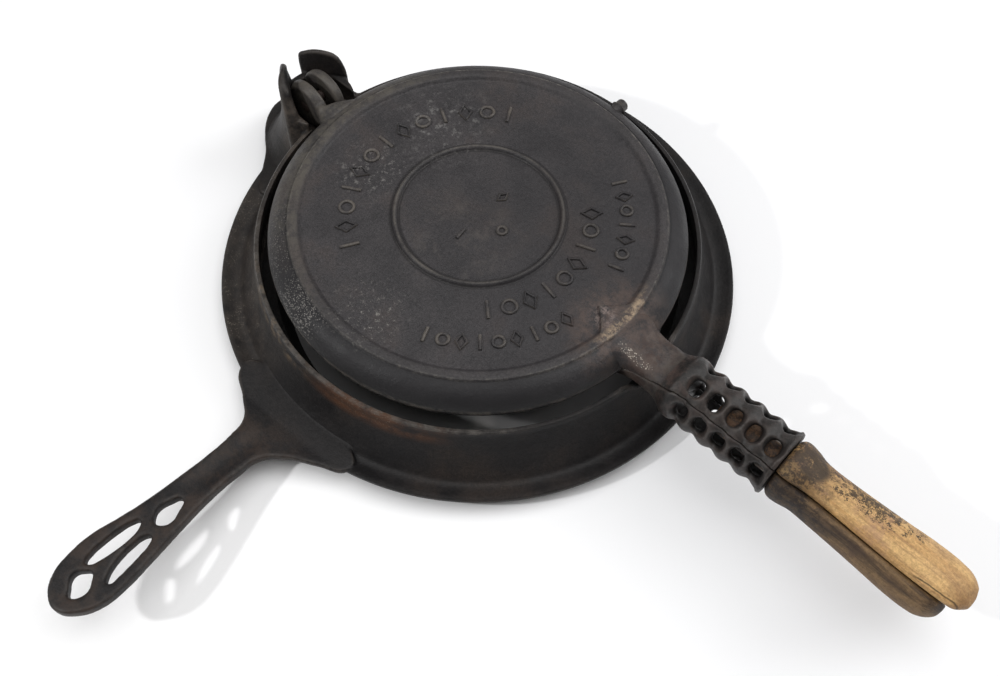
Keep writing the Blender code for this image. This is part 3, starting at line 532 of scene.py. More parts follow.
def shoulder_wear_and_painted_light(paint, radius, patches):
    """Speckled bare and rubbed at the left, lightened there also as painted sheen; painted shade towards the parting at
    the front, at the right and low down; a rim line that is partly rubbed and partly painted highlight.
    """
    shoulder = paint.rise(radius, 96, 99)
    # Rubbed patches at the left, lighter also as painted sheen on the lit side.
    rub = paint.times(paint.rise(radius, 92.6, 94.6), patches, paint.near((-104, -24, 6), 48, 50), 0.85)
    paint.lay((0.072, 0.065, 0.055), rub)
    # Painted shade on the shoulder at the front.
    front = paint.near((30, -100, 4), 62, 60)
    paint.lay((0.0088, 0.0081, 0.0094), shoulder, front, 0.9)
    # Painted shade on the shoulder at the right.
    right = paint.most(paint.near((104, 30, 4), 16, 26), paint.near((82, 68, 4), 24, 50))
    paint.lay((0.0095, 0.0088, 0.0105), shoulder, right, 0.85)
    # Painted shade on the shoulder's lower part, stronger at the front.
    low = paint.fall(paint.z, 1, 10)
    paint.lay((0.007, 0.0065, 0.007), shoulder, low, paint.span(front, 0, 1, 0.4, 0.95))
    # A light line along the rim: partly rubbed, partly painted highlight.
    paint.lay((0.075, 0.066, 0.056), paint.rise(radius, 109, 109.5), paint.spots(120, 5, 0.8, 0.4, 0.6), 0.6)
    flecked = paint.most(
        paint.times(shoulder, paint.near((-26, -100, 6), 6, 26), 0.8),
        paint.times(shoulder, paint.near((-62, -84, 6), 12, 34), 0.5),
        paint.times(rub, 0.36),
    )
    paint.lay((0.4, 0.38, 0.35), sparkle(paint, flecked, 0.75), 0.5)


def bead_highlight_and_shade(paint, radius):
    """The raised circle: a painted highlight along its top, patchy like wear, and painted shade at its feet."""
    middle = paint.maths("ABSOLUTE", paint.maths("SUBTRACT", radius, BEAD_RADIUS))
    # Painted shade at the bead's feet.
    paint.lay((0.009, 0.008, 0.0085), paint.strip(middle, 1.1, 1.7, 2.4, 3.4), 0.7)
    # Painted highlight along the bead's top.
    top = paint.times(paint.fall(middle, 0.2, 1.1), paint.rise(paint.z, 11, 12))
    paint.lay((0.12, 0.108, 0.094), top, paint.spots(36, 5, 0.8, 0.4, 0.62, 0.1, 0.6))


def field_shade_and_scuffs(paint, radius):
    """Painted shade on the field towards the grips, and four scuffed places."""
    # Painted shade: the field darker towards the grips.
    paint.lay((0.0165, 0.0152, 0.017), paint.near((46, 18, 10), 30, 75), paint.fall(radius, 91, 95), 0.4)
    paint.lay((0.17, 0.165, 0.16), paint.near((-55, 30, 10), 4, 34), paint.spots(260, 5, 0.8, 0.52, 0.64), 0.6)
    paint.lay((0.2, 0.19, 0.18), paint.near((-60, -18, 10), 6, 22), paint.spots(330, 5, 0.85, 0.54, 0.64), 0.6)
    paint.lay((0.24, 0.23, 0.21), paint.near((3, -80, 10), 4, 24), paint.spots(380, 5, 0.85, 0.56, 0.64), 0.7)
    paint.lay((0.085, 0.074, 0.066), paint.near((2, -20, 10), 8, 36), paint.spots(80, 6, 0.8, 0.46, 0.66), 0.4)


def stem_wear_and_shade(paint, radius, patches):
    """The pad's bronzed edge, the brown stem and its rubbed corner, with painted shade on their near flank."""
    paint.lay((0.094, 0.065, 0.053), paint.near((98, -1, 11), 15, 20), paint.spots(120, 6, 0.75, 0.38, 0.62), 0.65)
    paint.lay((0.2, 0.155, 0.14), paint.near((87, -3, 12), 2, 8), paint.spots(330, 5, 0.8, 0.44, 0.62), 0.75)
    edge = paint.times(paint.strip(radius, 92, 95.4, 97.4, 98.4), paint.near((97, 3, 12), 10, 16))
    bronzed = paint.times(paint.spots(150, 4, 0.75, 0.44, 0.6), paint.spots(420, 5, 0.8, 0.3, 0.7, 0.3, 1))
    paint.lay((0.32, 0.24, 0.16), edge, bronzed)
    paint.lay((0.04, 0.023, 0.018), paint.near((124, 0, 4), 12, 14), paint.fall(paint.x, 118, 131, 0.3), patches, 0.85)
    # Painted shade on the near (-Y) flank of the pad and stem.
    paint.lay((0.011, 0.01, 0.01), paint.fall(paint.y, -15, -11), paint.rise(paint.x, 100, 106), 0.7)
    corner = paint.times(paint.strip(paint.y, -12.5, -9.5, -8.5, -4), paint.near((112, -8, 8), 5, 10))
    corner = paint.times(corner, paint.rise(paint.z, 5, 8))
    paint.lay((0.12, 0.095, 0.082), corner, patches, 0.5)
    paint.lay((0.6, 0.54, 0.46), sparkle(paint, corner, 0.55), 0.85)


def base_iron():
    """Rust and streaks on the collar, browns on gutter, handle and ears, the ears lightened also as painted light; a
    painted highlight on the collar's lip; painted shade inside the collar where the plates lie, on the hinge cup and on
    a flank by the ears.
    """
    paint = cast_iron(
        "base cast iron", (0.0081, 0.0074, 0.0078), (0.0158, 0.0138, 0.0136), (0.028, 0.02, 0.0155),
        (0.085, 0.073, 0.064), 0.42,
    )
    collar = paint.rise(paint.z, -19, -12)
    rust = paint.times(collar, paint.near((36, -113, -6), 18, 30), paint.spots(60, 5, 0.7, 0.3, 0.55))
    paint.lay((0.07, 0.03, 0.014), rust, 0.95)
    streaked = paint.times(collar, paint.near((-40, -106, -6), 20, 26))
    paint.lay((0.15, 0.105, 0.062), streaked, paint.spots(130, 6, 0.75, 0.45, 0.62), 0.7)
    gutter = paint.times(paint.near((-95, -85, -34), 50, 50), paint.spots(48, 6, 0.72, 0.34, 0.6), 0.5)
    paint.lay((0.052, 0.043, 0.036), gutter)
    chips = paint.most(paint.times(gutter, 1.3), paint.times(rust, 0.6))
    paint.lay((0.28, 0.245, 0.2), sparkle(paint, chips, 0.6), 0.55)
    # Painted highlight along the collar's lip at the front, patchy.
    lip = paint.times(paint.rise(paint.z, -5.8, -5.1), paint.spots(170, 5, 0.8, 0.36, 0.64, 0.05, 0.65))
    paint.lay((0.1, 0.09, 0.08), lip, paint.near((0, -118, -5), 90, 30))
    handle = paint.fall(paint.y, -158, -132)
    paint.lay((0.04, 0.028, 0.022), handle, paint.spots(42, 6, 0.75, 0.42, 0.62), 0.7)
    # Painted shade inside the collar, under the plates.
    inside = paint.times(paint.fall(paint.length(paint.x, paint.y), 118, 118.6), paint.fall(paint.z, -12, -6))
    paint.lay((0.0045, 0.004, 0.004), inside, 0.93)
    cup, flank, ears = (-112, -14, -4), (-128, -38, -20), (-122, -26, -2)
    # Painted shade on the hinge cup and on a flank below the near ear.
    paint.lay((0.006, 0.0055, 0.0055), paint.near(cup, 5, 7), 0.85)
    paint.lay((0.009, 0.0075, 0.007), paint.near(flank, 13, 14), 0.6)
    # The ears: brown patches, lightened also as painted light on their lit faces.
    paint.lay((0.085, 0.068, 0.054), paint.near(ears, 10, 16), paint.spots(90, 6, 0.75, 0.35, 0.6), 0.6)
    return sand_cast(paint, 0.52, 0.24)


def cage_iron():
    """Brown near the shoulder, and painted shade, near black, inside the bore and the windows."""
    paint = cast_iron(
        "cage cast iron", (0.0132, 0.0121, 0.0117), (0.0238, 0.0212, 0.0196), (0.036, 0.0225, 0.019),
        (0.07, 0.06, 0.054), 0.5,
    )
    paint.lay((0.062, 0.042, 0.036), paint.fall(paint.x, 141, 158, 0.35), paint.spots(70, 6, 0.75, 0.4, 0.62), 0.8)
    depth = paint.length(paint.y, paint.z)
    # Painted shade: near black inside the cage, in the bore and deep in the windows.
    paint.lay((0.004, 0.0036, 0.0035), paint.fall(depth, 13.8, 15.4), paint.rise(paint.x, 139, 142), 0.9)
    return sand_cast(paint, 0.46, 0.29)


def wood(name, heart, pale, streak, blush, charred, char_reach, speckle):
    """Turned hardwood with its grain along X, charred towards the iron."""
    paint = Paint(name)
    start = GRIP_START / MM
    figure = paint.noise(110, 6, 0.7, paint.stretched(0.09), 0.5)
    fibre = paint.noise(560, 4, 0.7, paint.stretched(0.035))
    grime = paint.noise(30, 6, 0.75, paint.stretched(0.5))
    paint.colour = paint.mix(paint.span(figure, 0.38, 0.62), heart, pale)
    paint.lay(streak, paint.span(fibre, 0.5, 0.68), 0.5)
    paint.lay(streak, paint.span(grime, 0.47, 0.66), 0.6)
    paint.shade(paint.spots(700, 4, 0.8, 0.3, 0.7, 0.72, 1.2))
    fading = paint.fall(paint.x, start + 40, start + 88, 0.1)
    paint.lay(blush, paint.spots(48, 6, 0.8, 0.46, 0.62), fading, 0.6)

    ragged = paint.maths("ADD", paint.x, paint.stray(70, 6, 0.8, 60))
    patchy = paint.span(paint.spots(190, 6, 0.85, 0.44, 0.54), 0, 1, 0.2, 1)
    burn = paint.times(paint.fall(ragged, start + char_reach * 0.3, start + char_reach), patchy)
    dots = paint.noise(420, 6, 0.9)
    crowded = paint.times(paint.rise(paint.y, -8, 5), fading, paint.spots(75, 5, 0.8, 0.34, 0.6))
    gaps = paint.span(crowded, 0, 0.75, 0.7, 0.44)
    specks = paint.times(paint.span(paint.maths("SUBTRACT", dots, gaps), 0, 0.04), speckle)
    along, _ = parting_axes()
    aside = paint.maths("ADD", paint.times(paint.y, along.y), paint.times(paint.z, along.z))
    near_edge = paint.times(paint.rise(aside, 5, 12), paint.fall(paint.x, start + 8, start + 30, 0, 0.75))
    black = paint.times(paint.near((206.5, 3, 14), 6.5, 5.5), paint.spots(130, 5, 0.8, 0.3, 0.45))
    crack_line = paint.times(paint.maths("SUBTRACT", paint.x, 268 * MM), 0.09)
    off_line = paint.maths("SUBTRACT", paint.maths("ADD", paint.y, 9.2 * MM), crack_line)
    off_line = paint.maths("ABSOLUTE", paint.maths("ADD", off_line, paint.stray(80, 3, 0.55, 3)))
    crack = paint.times(paint.fall(off_line, 0.15, 0.45), paint.rise(paint.z, 4, 6), paint.rise(paint.x, 262, 270), 0.8)
    paint.lay(charred, paint.most(burn, specks, near_edge, black, crack), 0.93)

    paint.lay(streak, paint.rise(paint.x, start + 84, start + 96), 0.4)
    paint.bump((figure, 0.4), (fibre, 0.25), (dots, 0.2))
    return paint.finish(paint.span(figure, 0.3, 0.7, 0.5, 0.66), 0.0, 0.3)


def steel():
    paint = Paint("screw steel")
    cloud = paint.noise(260, 5, 0.65)
    paint.colour = paint.mix(paint.span(cloud, 0.35, 0.68), (0.2, 0.18, 0.16), (0.09, 0.06, 0.045))
    paint.bump((paint.noise(900, 3), 0.05), (paint.noise(2600, 2), 0.02))
    return paint.finish(paint.span(cloud, 0.35, 0.68, 0.35, 0.6), 0.85)


MATERIALS = {
    "plate": plate_iron(),
    "base": base_iron(),
    "cage": cage_iron(),
    "tan": wood(
        "tan hardwood", (0.42, 0.232, 0.083), (0.6, 0.385, 0.165), (0.2, 0.11, 0.055), (0.36, 0.205, 0.13),
        (0.02, 0.0145, 0.012), 31, 0.95,
    ),
    "dark": wood(
        "smoked hardwood", (0.047, 0.029, 0.018), (0.2, 0.125, 0.06), (0.02, 0.0135, 0.0105), (0.07, 0.042, 0.03),
        (0.015, 0.011, 0.01), 42, 0.4,
    ),
    "tenon": wood(
        "scorched hardwood", (0.11, 0.055, 0.025), (0.2, 0.11, 0.055), (0.06, 0.03, 0.018), (0.1, 0.05, 0.03),
        (0.03, 0.02, 0.015), 45, 0.3,
    ),
    "steel": steel(),
}


def finished(obj, name, body, slot, material, *replaced):
    """Moves the piece to the ring, paints it and hangs it on its body."""
    obj.data.transform(Matrix.Translation(RING))
    obj.name = name
    obj.data.name = name
    obj.data.materials.clear()
    obj.data.materials.append(MATERIALS[material])
    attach(obj, body)
    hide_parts(*replaced)


def turned_over(obj):
    """The piece half a turn about the axis, as it lies on the lower half."""
    obj.data.transform(Matrix.Rotation(pi, 4, "X"))
    return obj


def both_plates(obj, part, material="plate"):
    """One piece on the upper plate, and its copy turned over on the lower one."""
    lower = link("lower", obj.data.copy())
    finished(turned_over(lower), "lower_" + part, "lower_half", "plate_iron", material, "lower_plate")
    finished(obj, "upper_" + part, "upper_half", "plate_iron", material, "upper_plate")


# Base


def wall_out(share):
    """The wall's lean: nearly upright at the collar, sweeping out at the gutter."""
    return WALL_SPREAD * (0.3 * share + 0.7 * share ** 3.4)


def ring_section():
    """Foot, shelf, gutter, wall and collar."""
    outside, inside = [], []
    top = COLLAR_TOP - 0.8 * MM
    for step in range(15):
        share = step / 14
        height = top + share * (FLANGE_TOP - 0.6 * MM - top)
        radius = COLLAR_RADIUS + COLLAR_THICKNESS + wall_out(share)
        outside.append((radius, height))
        inside.append((max(radius - WALL_THICKNESS, COLLAR_RADIUS), height))
    gutter = []
    start = outside[-1][0]
    for step in range(1, 14):
        share = step / 14
        radius = start + share * (FLANGE_RADIUS - 1.4 * MM - start)
        gutter.append((radius, FLANGE_TOP - 2.5 * MM * sin(pi * share ** 0.6)))
    rim = [
        (FLANGE_RADIUS - 0.8 * MM, FLANGE_TOP - 0.05 * MM),
        (FLANGE_RADIUS - 0.25 * MM, FLANGE_TOP - 0.4 * MM),
        (FLANGE_RADIUS, FLANGE_TOP - 1 * MM),
        (FLANGE_RADIUS, FLANGE_BOTTOM + 0.8 * MM),
        (FLANGE_RADIUS - 0.8 * MM, FLANGE_BOTTOM),
        (132 * MM, FLANGE_BOTTOM - 0.9 * MM),
        (122 * MM, FLANGE_BOTTOM - 2 * MM),
        (112.4 * MM, FLANGE_BOTTOM - 2 * MM),
        (111.3 * MM, TABLE + 0.6 * MM),
        (110.7 * MM, TABLE),
        (106.4 * MM, TABLE),
        (106.1 * MM, TABLE + 0.4 * MM),
        (109.8 * MM, FLANGE_BOTTOM),
        (111.1 * MM, FLANGE_TOP),
    ]
    collar = [(COLLAR_RADIUS, COLLAR_TOP - 0.2 * MM), (COLLAR_RADIUS + 0.3 * MM, COLLAR_TOP)]
    lip = [(COLLAR_RADIUS + COLLAR_THICKNESS - 0.7 * MM, COLLAR_TOP)]
    return collar + lip + outside + gutter + rim + list(reversed(inside[1:-1]))


def flat_outline(name, outlines, thickness, bevel, rounding=4):
    """Closed outlines in the XY plane with a rounded edge; inner ones are holes."""
    curve = bpy.data.curves.new(name, "CURVE")
    curve.dimensions = "2D"
    curve.fill_mode = "BOTH"
    curve.extrude = thickness / 2 - bevel
    curve.bevel_depth = bevel
    curve.bevel_resolution = rounding
    curve.offset = -bevel
    curve.resolution_u = 10
    for outline in outlines:
        spline = curve.splines.new("BEZIER")
        spline.bezier_points.add(len(outline) - 1)
        for point, (x, y) in zip(spline.bezier_points, outline):
            point.co = (x, y, 0)
            point.handle_left_type = "AUTO"
            point.handle_right_type = "AUTO"
        spline.use_cyclic_u = True
    source = link(name, curve)
    made = settled(source, name)
    bpy.data.objects.remove(source)
    bpy.data.curves.remove(curve)
    with editing(made.data) as bm:
        bmesh.ops.remove_doubles(bm, verts=bm.verts, dist=10 * HAIR)
        bmesh.ops.recalc_face_normals(bm, faces=bm.faces)
    return made


# Side handle: outline and holes, as shares of its reach past the flange and of its half width
HANDLE_OUTLINE = [
    (-0.03, 3.00), (0.03, 2.15), (0.09, 1.24), (0.16, 0.70), (0.26, 0.62), (0.38, 0.64), (0.54, 0.80),
    (0.68, 0.96), (0.80, 1.06), (0.89, 1.00), (0.96, 0.68), (1.00, 0.14), (0.98, -0.40), (0.92, -0.79),
    (0.84, -0.94), (0.75, -0.95), (0.65, -0.79), (0.54, -0.65), (0.38, -0.57), (0.24, -0.56), (0.16, -0.63),
    (0.08, -0.81), (0.01, -1.50), (-0.07, -2.35), (-0.13, -2.30), (-0.08, 2.90),
]
HANDLE_HOLES = [
    [(0.451, 0.08), (0.499, 0.38), (0.544, 0.49), (0.575, 0.34), (0.583, 0.14), (0.566, -0.08),
     (0.538, -0.20), (0.490, -0.13)],
    [(0.604, -0.25), (0.627, -0.04), (0.669, 0.05), (0.728, 0.04), (0.786, -0.05), (0.826, -0.20),
     (0.832, -0.40), (0.800, -0.53), (0.747, -0.56), (0.685, -0.53), (0.630, -0.43)],
    [(0.618, 0.36), (0.644, 0.56), (0.689, 0.65), (0.745, 0.72), (0.792, 0.75), (0.826, 0.74),
     (0.832, 0.62), (0.812, 0.42), (0.780, 0.28), (0.738, 0.18), (0.690, 0.14), (0.640, 0.17)],
    [(0.834, 0.02), (0.858, 0.27), (0.888, 0.43), (0.914, 0.41), (0.937, 0.28), (0.943, 0.12),
     (0.922, -0.11), (0.896, -0.32), (0.874, -0.35), (0.852, -0.21)],
]


def side_handle():
    """A pierced, rising handle with a shallow valley at its root."""
    outlines = []
    shrinks = [(1, 1), (0.95, 0.9), (0.97, 0.8), (0.97, 0.8), (0.95, 0.9)]
    for shares, shrink in zip([HANDLE_OUTLINE] + HANDLE_HOLES, shrinks):
        outline = [(FLANGE_RADIUS + s * HANDLE_REACH, w * HANDLE_HALF_WIDTH) for s, w in shares]
        middle = [sum(point[axis] for point in outline) / len(outline) for axis in (0, 1)]
        outlines.append([tuple(m + (p - m) * k for p, m, k in zip(point, middle, shrink)) for point in outline])
    flat = flat_outline("side handle", outlines, HANDLE_THICKNESS, 1.5 * MM)
    with editing(flat.data) as bm:
        lengthwise = [(FLANGE_RADIUS + (step - 4) / 55 * HANDLE_REACH, 0, 0) for step in range(60)]
        sliced(bm, lengthwise, (1, 0, 0), HAIR)
        sliced(bm, [(0, step * 2.1 * MM, 0) for step in range(-8, 9)], (0, 1, 0), HAIR)
        for vertex in bm.verts:
            bend_handle(vertex.co)
        bmesh.ops.triangulate(bm, faces=bm.faces)
        across = Vector((-sin(HANDLE_TURN), cos(HANDLE_TURN), 0))
        place = Matrix.Translation(across * -HANDLE_SKEW) @ Matrix.Rotation(HANDLE_TURN, 4, "Z")
        bmesh.ops.transform(bm, matrix=place, verts=bm.verts)
    return flat


def bend_handle(point):
    """Lifts a point of the flat handle: thin at the root, rising to the end, with the valley on top."""
    share = clamped((point.x - FLANGE_RADIUS) / HANDLE_REACH)
    thickness = (3.8 + 3 * min(share * 4, 1)) * MM / HANDLE_THICKNESS
    rise = HANDLE_RISE * (1 - (1 - share) ** 1.4)
    valley = 0
    if point.z > 0:
        middle = 0.1 * HANDLE_HALF_WIDTH * share
        across = max(1 - ((point.y - middle) / (6.4 * MM)) ** 2, 0)
        valley = VALLEY_DEPTH * across * clamped((share - 0.07) / 0.1) * clamped((0.47 - share) / 0.14)
    point.z = (FLANGE_TOP + FLANGE_BOTTOM) / 2 + rise + point.z * thickness - valley


# Hinge tongue and ears, as shares of (reach, half width) and of (length, height)
TONGUE = [(-0.15, 2.6), (0.1, 2.3), (0.27, 1.9), (0.42, 1.56), (0.62, 1.24), (0.82, 0.86), (0.94, 0.5), (1, 0.16)]
EAR = [
    (-0.10, -1.95), (0.08, -1.90), (0.33, -1.45), (0.50, -1.12), (0.52, -0.92), (0.28, -0.82), (0.12, -0.70),
    (0.05, -0.52), (0.03, -0.25), (0.02, 0.10), (-0.04, 0.54), (-0.17, 0.88), (-0.42, 1.00), (-0.66, 0.98),
    (-0.86, 0.87), (-0.98, 0.76), (-1.00, 0.60), (-1.00, -0.12), (-0.99, -0.80), (-0.96, -1.40), (-0.93, -1.95),
]


def tongue():
    half = [(-share * TONGUE_REACH, width * TONGUE_HALF_WIDTH) for share, width in TONGUE]
    outline = half + [(x, -y) for x, y in reversed(half)]
    made = flat_outline("tongue", [outline], FLANGE_TOP - FLANGE_BOTTOM, 0.8 * MM, 2)
    made.data.transform(Matrix.Translation((HINGE_X, 0, (FLANGE_TOP + FLANGE_BOTTOM) / 2)))
    return made


def ear(side, rise, thickness):
    """One ear beside the hinge. The one towards -Y leans in and is trimmed to the hinge ball's seat."""
    forward = 1 / cos(EAR_FLARE)
    outline = []
    for x, z in EAR:
        if side < 0 and x > -0.1 and z < 0.6:
            x += 0.34 * (0.6 - max(z, -0.9)) / 1.5
        outline.append((x * EAR_LENGTH * forward, z * EAR_HEIGHT * (rise if z > 0 else 1)))
    made = flat_outline("ear", [outline], thickness, thickness * 0.42)
    distance = BALL_RADIUS + 1 * MM + EAR_THICKNESS / 2
    direction = Vector((cos(EAR_FLARE), side * sin(EAR_FLARE), 0))
    up = Vector((0, 0, 1))
    foot = Vector((HINGE_X, side * distance / cos(EAR_FLARE), 0))
    turn = Matrix((direction, up, direction.cross(up))).transposed().to_4x4()
    inward = Vector((sin(EAR_FLARE), -side * cos(EAR_FLARE), 0))
    made.data.transform(Matrix.Translation(foot + inward * (thickness - EAR_THICKNESS) / 2) @ turn)
    if side > 0:
        return made
    with editing(made.data) as bm:
        sliced(bm, [(0, 0, step * 1.8 * MM) for step in range(-14, 12)], (0, 0, 1))
        for vertex in bm.verts:
            inside = (vertex.co - foot).dot(inward) > 0
            lean = clamped((vertex.co.z + 6 * MM) / (25 * MM)) ** 1.5
            rear = clamped((HINGE_X + 2 * MM - vertex.co.x) / (22 * MM))
            vertex.co += inward * (1.6 * MM * lean + 2.2 * MM * lean * rear)
            vertex.co -= inward * 2.4 * MM * sin(pi * min(rear * 1.1, 1)) * lean
            vertex.co -= direction * 1.2 * MM * rear
            if inside:
                vertex.co -= inward * 1.8 * MM * rear ** 2 * lean
                vertex.co += inward * 6.2 * MM * clamped((12 * MM - vertex.co.z) / (26 * MM))
        bmesh.ops.triangulate(bm, faces=bm.faces)
    return combined(made, seat_cutters(), "DIFFERENCE")


def ball(radius, centre, steps=40):
    profile = [(radius * sin(pi * step / steps), -radius * cos(pi * step / steps)) for step in range(steps + 1)]
    profile[0], profile[-1] = (0, -radius), (0, radius)
    return turned("ball", profile, 2 * steps, Matrix.Translation(centre))


def rod(name, radius, foot, top, steps, place):
    return turned(name, [(0, foot), (radius, foot), (radius, top), (0, top)], steps, place)


def hinge_cup():
    """The bulged seat under the hinge, trimmed clear of the plates' swing."""
    place = Matrix.Translation((HINGE_X, 0, 0))
    top = 1 * MM
    profile = [(0, FLANGE_BOTTOM + 0.8 * MM), (34 * MM, FLANGE_BOTTOM + 0.8 * MM), (33.6 * MM, FLANGE_TOP + 0.3 * MM)]
    for step in range(1, 13):
        share = step / 12
        radius = 20.6 + 12.4 * (1 - share) ** 2
        profile.append((radius * MM, FLANGE_TOP + share * (top - FLANGE_TOP)))
    profile.append((0, top))
    cup = turned("hinge cup", profile, 72, place)
    return combined(cup, [ball(115.3 * MM, (0, 0, 0), 90)], "DIFFERENCE")


def notch_cutter(radius):
    """Round under the stem, and flared into the collar's top edge."""
    fillet = 14 * MM
    centre_height = COLLAR_TOP - fillet
    centre_across = sqrt((radius + fillet) ** 2 - centre_height ** 2)
    tangent = atan2(centre_height, centre_across)
    half = arc((0, 0), radius, -pi / 2, tangent, 12)
    half += arc((centre_across, centre_height), fillet, tangent + pi, pi / 2, 12, 1)
    half.append((centre_across, 20 * MM))
    outline = [(-across, up) for across, up in reversed(half[1:])] + half
    rings = [[Vector((x, across, up)) for across, up in outline] for x in (100 * MM, 150 * MM)]
    return loft("notch", rings)


def seat_cutters():
    """The hinge ball's seat, and its passage through the collar."""
    hinge = Vector((HINGE_X, 0, 0))
    radius = BALL_RADIUS + 0.7 * MM
    passage = rod("passage", radius, 0, 20 * MM, 64, along_x(HINGE_X))
    return [ball(radius, hinge), passage]


def ring_within(low, high):
    """What a box holds of the ring, drawn in a little to carry the fillets of what is cast onto it."""
    ring = turned("low ring", inset(ring_section(), 0.25 * MM), 240)
    block = box("near", [value * MM for value in low], [value * MM for value in high])
    return combined(ring, [block], "INTERSECT")


def ring_casting():
    ring = turned("ring", ring_section(), 320)
    return worn(combined(ring, [*seat_cutters(), notch_cutter(15.9 * MM)], "DIFFERENCE"), 42)


def notch_lip_casting():
    """The collar's rounded edge under the stem."""
    near = ring_within((100, -46, -31), (136, 46, 10))
    near = combined(near, [notch_cutter(15.5 * MM)], "DIFFERENCE")
    return worn(cast_in_iron("notch lip", [near], 0.5 * MM, 3))


def hinge_seat_casting():
    """The cup, the tongue under it and the two ears, with the stretch of ring that carries them."""
    near = combined(ring_within((-160, -60, -50), (-84, 60, 10)), seat_cutters(), "DIFFERENCE")
    cup = combined(hinge_cup(), seat_cutters(), "DIFFERENCE")
    solids = [near, cup, tongue(), ear(-1, 1.15, 5.2 * MM), ear(1, 1.05, 2.9 * MM)]
    return worn(cast_in_iron("hinge seat casting", solids, 0.78 * MM, 3))


def side_handle_casting():
    """The handle with the stretch of ring that carries it."""
    near = ring_within((-60, -150, -50), (60, -92, -8))
    return worn(cast_in_iron("side handle casting", [near, side_handle()], 0.85 * MM, 4))


# Plates


def shoulder_height(radius):
    share = max((radius - CREST_RADIUS) / (PLATE_RADIUS - CREST_RADIUS), 0)
    rise = max(1 - share ** SHOULDER_EXPONENT, 0) ** (1 / SHOULDER_EXPONENT)
    return PARTING + (PLATE_TOP - PARTING) * rise


def plate_section():
    """From the pole of the outside over the crest to the rim, and back along the cavity."""
    field = FIELD_HEIGHT
    profile = [(0, field), (20 * MM, field), (38 * MM, field), (BEAD_RADIUS - 2.1 * MM, field)]
    for step in range(9):
        across = -1 + 2 * step / 8
        profile.append((BEAD_RADIUS + BEAD_HALF_WIDTH * across, field + BEAD_HEIGHT * cos(across * pi / 2) ** 0.75))
    profile += [(BEAD_RADIUS + 2.1 * MM, field), (60 * MM, field), (80 * MM, field), (FIELD_RADIUS, field)]
    for step in range(1, 9):
        share = step / 8
        profile.append((FIELD_RADIUS + 3 * MM * share, field + 2.1 * MM * (1 - cos(pi * share)) / 2))
    profile += [
        (95 * MM, PLATE_TOP), (96.6 * MM, PLATE_TOP), (97.4 * MM, PLATE_TOP - 0.08 * MM),
        (97.9 * MM, PLATE_TOP - 0.35 * MM), (98.15 * MM, shoulder_height(98.2 * MM) - 0.25 * MM),
        (98.6 * MM, shoulder_height(98.6 * MM) - 0.2 * MM), (99.2 * MM, shoulder_height(99.2 * MM)),
    ]
    for step in range(17, 40):
        radius = CREST_RADIUS + (PLATE_RADIUS - CREST_RADIUS) * sin(pi / 2 * step / 40)
        if radius > 99.8 * MM:
            profile.append((radius, shoulder_height(radius)))
    profile += [
        (PLATE_RADIUS, PARTING + 0.3 * MM),
        (PLATE_RADIUS - 0.2 * MM, PARTING),
        (CAVITY_MOUTH + 0.3 * MM, PARTING),
        (CAVITY_MOUTH - 0.1 * MM, PARTING + 0.4 * MM),
        (CAVITY_RADIUS + 0.4 * MM, CAVITY_TOP - 1.2 * MM),
        (CAVITY_RADIUS - 0.2 * MM, CAVITY_TOP - 0.3 * MM),
        (CAVITY_RADIUS - 1.2 * MM, CAVITY_TOP),
        (60 * MM, CAVITY_TOP),
        (0, CAVITY_TOP),
    ]
    return profile


def low_plate_section():
    """A plain disc just under the plate's skin, to carry the fillets of what is cast onto it."""
    depth = 0.35 * MM
    profile = [(0, FIELD_HEIGHT - depth), (90.2 * MM, FIELD_HEIGHT - depth), (92.6 * MM, PLATE_TOP - 1.2 * MM)]
    profile += [(94.5 * MM, PLATE_TOP - depth), (96.4 * MM, PLATE_TOP - depth), (97.5 * MM, PLATE_TOP - 1.4 * MM)]
    for step in range(20, 40, 2):
        radius = CREST_RADIUS + (PLATE_RADIUS - CREST_RADIUS) * sin(pi / 2 * step / 40)
        profile.append((radius - depth * 0.7, shoulder_height(radius) - depth * 0.8))
    profile += [(PLATE_RADIUS - depth, PARTING + depth), (CAVITY_MOUTH + 0.6 * MM, PARTING + depth)]
    return profile + [(CAVITY_RADIUS + 0.6 * MM, CAVITY_TOP + 0.4 * MM), (0, CAVITY_TOP + 0.4 * MM)]


# Stem and pad: share of the stem's length past the plate, and shares of its half width and height
STEM = [
    (-0.48, 1.40, 1.20), (-0.24, 1.30, 1.21), (-0.06, 1.12, 1.11), (0.12, 1.01, 1.03), (0.28, 0.98, 1.00),
    (0.44, 0.99, 1.00), (0.65, 1.05, 1.08), (0.81, 1.25, 1.42), (0.93, 1.50, 1.80),
]


def stem_size(x):
    """Half width, half height and squareness of the stem, pad and shoulder at x."""
    places = [PLATE_RADIUS + share * STEM_LENGTH for share, _, _ in STEM] + [CAGE_START]
    widths = [width * STEM_WIDTH for _, width, _ in STEM] + [SHOULDER]
    heights = [height * STEM_HEIGHT for _, _, height in STEM] + [SHOULDER]
    share = (x - PLATE_RADIUS) / STEM_LENGTH
    return (
        held_to(spline_at(places, widths, x), STEM_CAP),
        held_to(spline_at(places, heights, x), STEM_CAP),
        3.4 - 1.4 * clamped((share - 0.5) / 0.35),
    )


def held_to(size, limit, softness=0.8 * MM):
    """The size, rounded off softly under a limit."""
    return -softness * log(exp(-size / softness) + exp(-limit / softness))


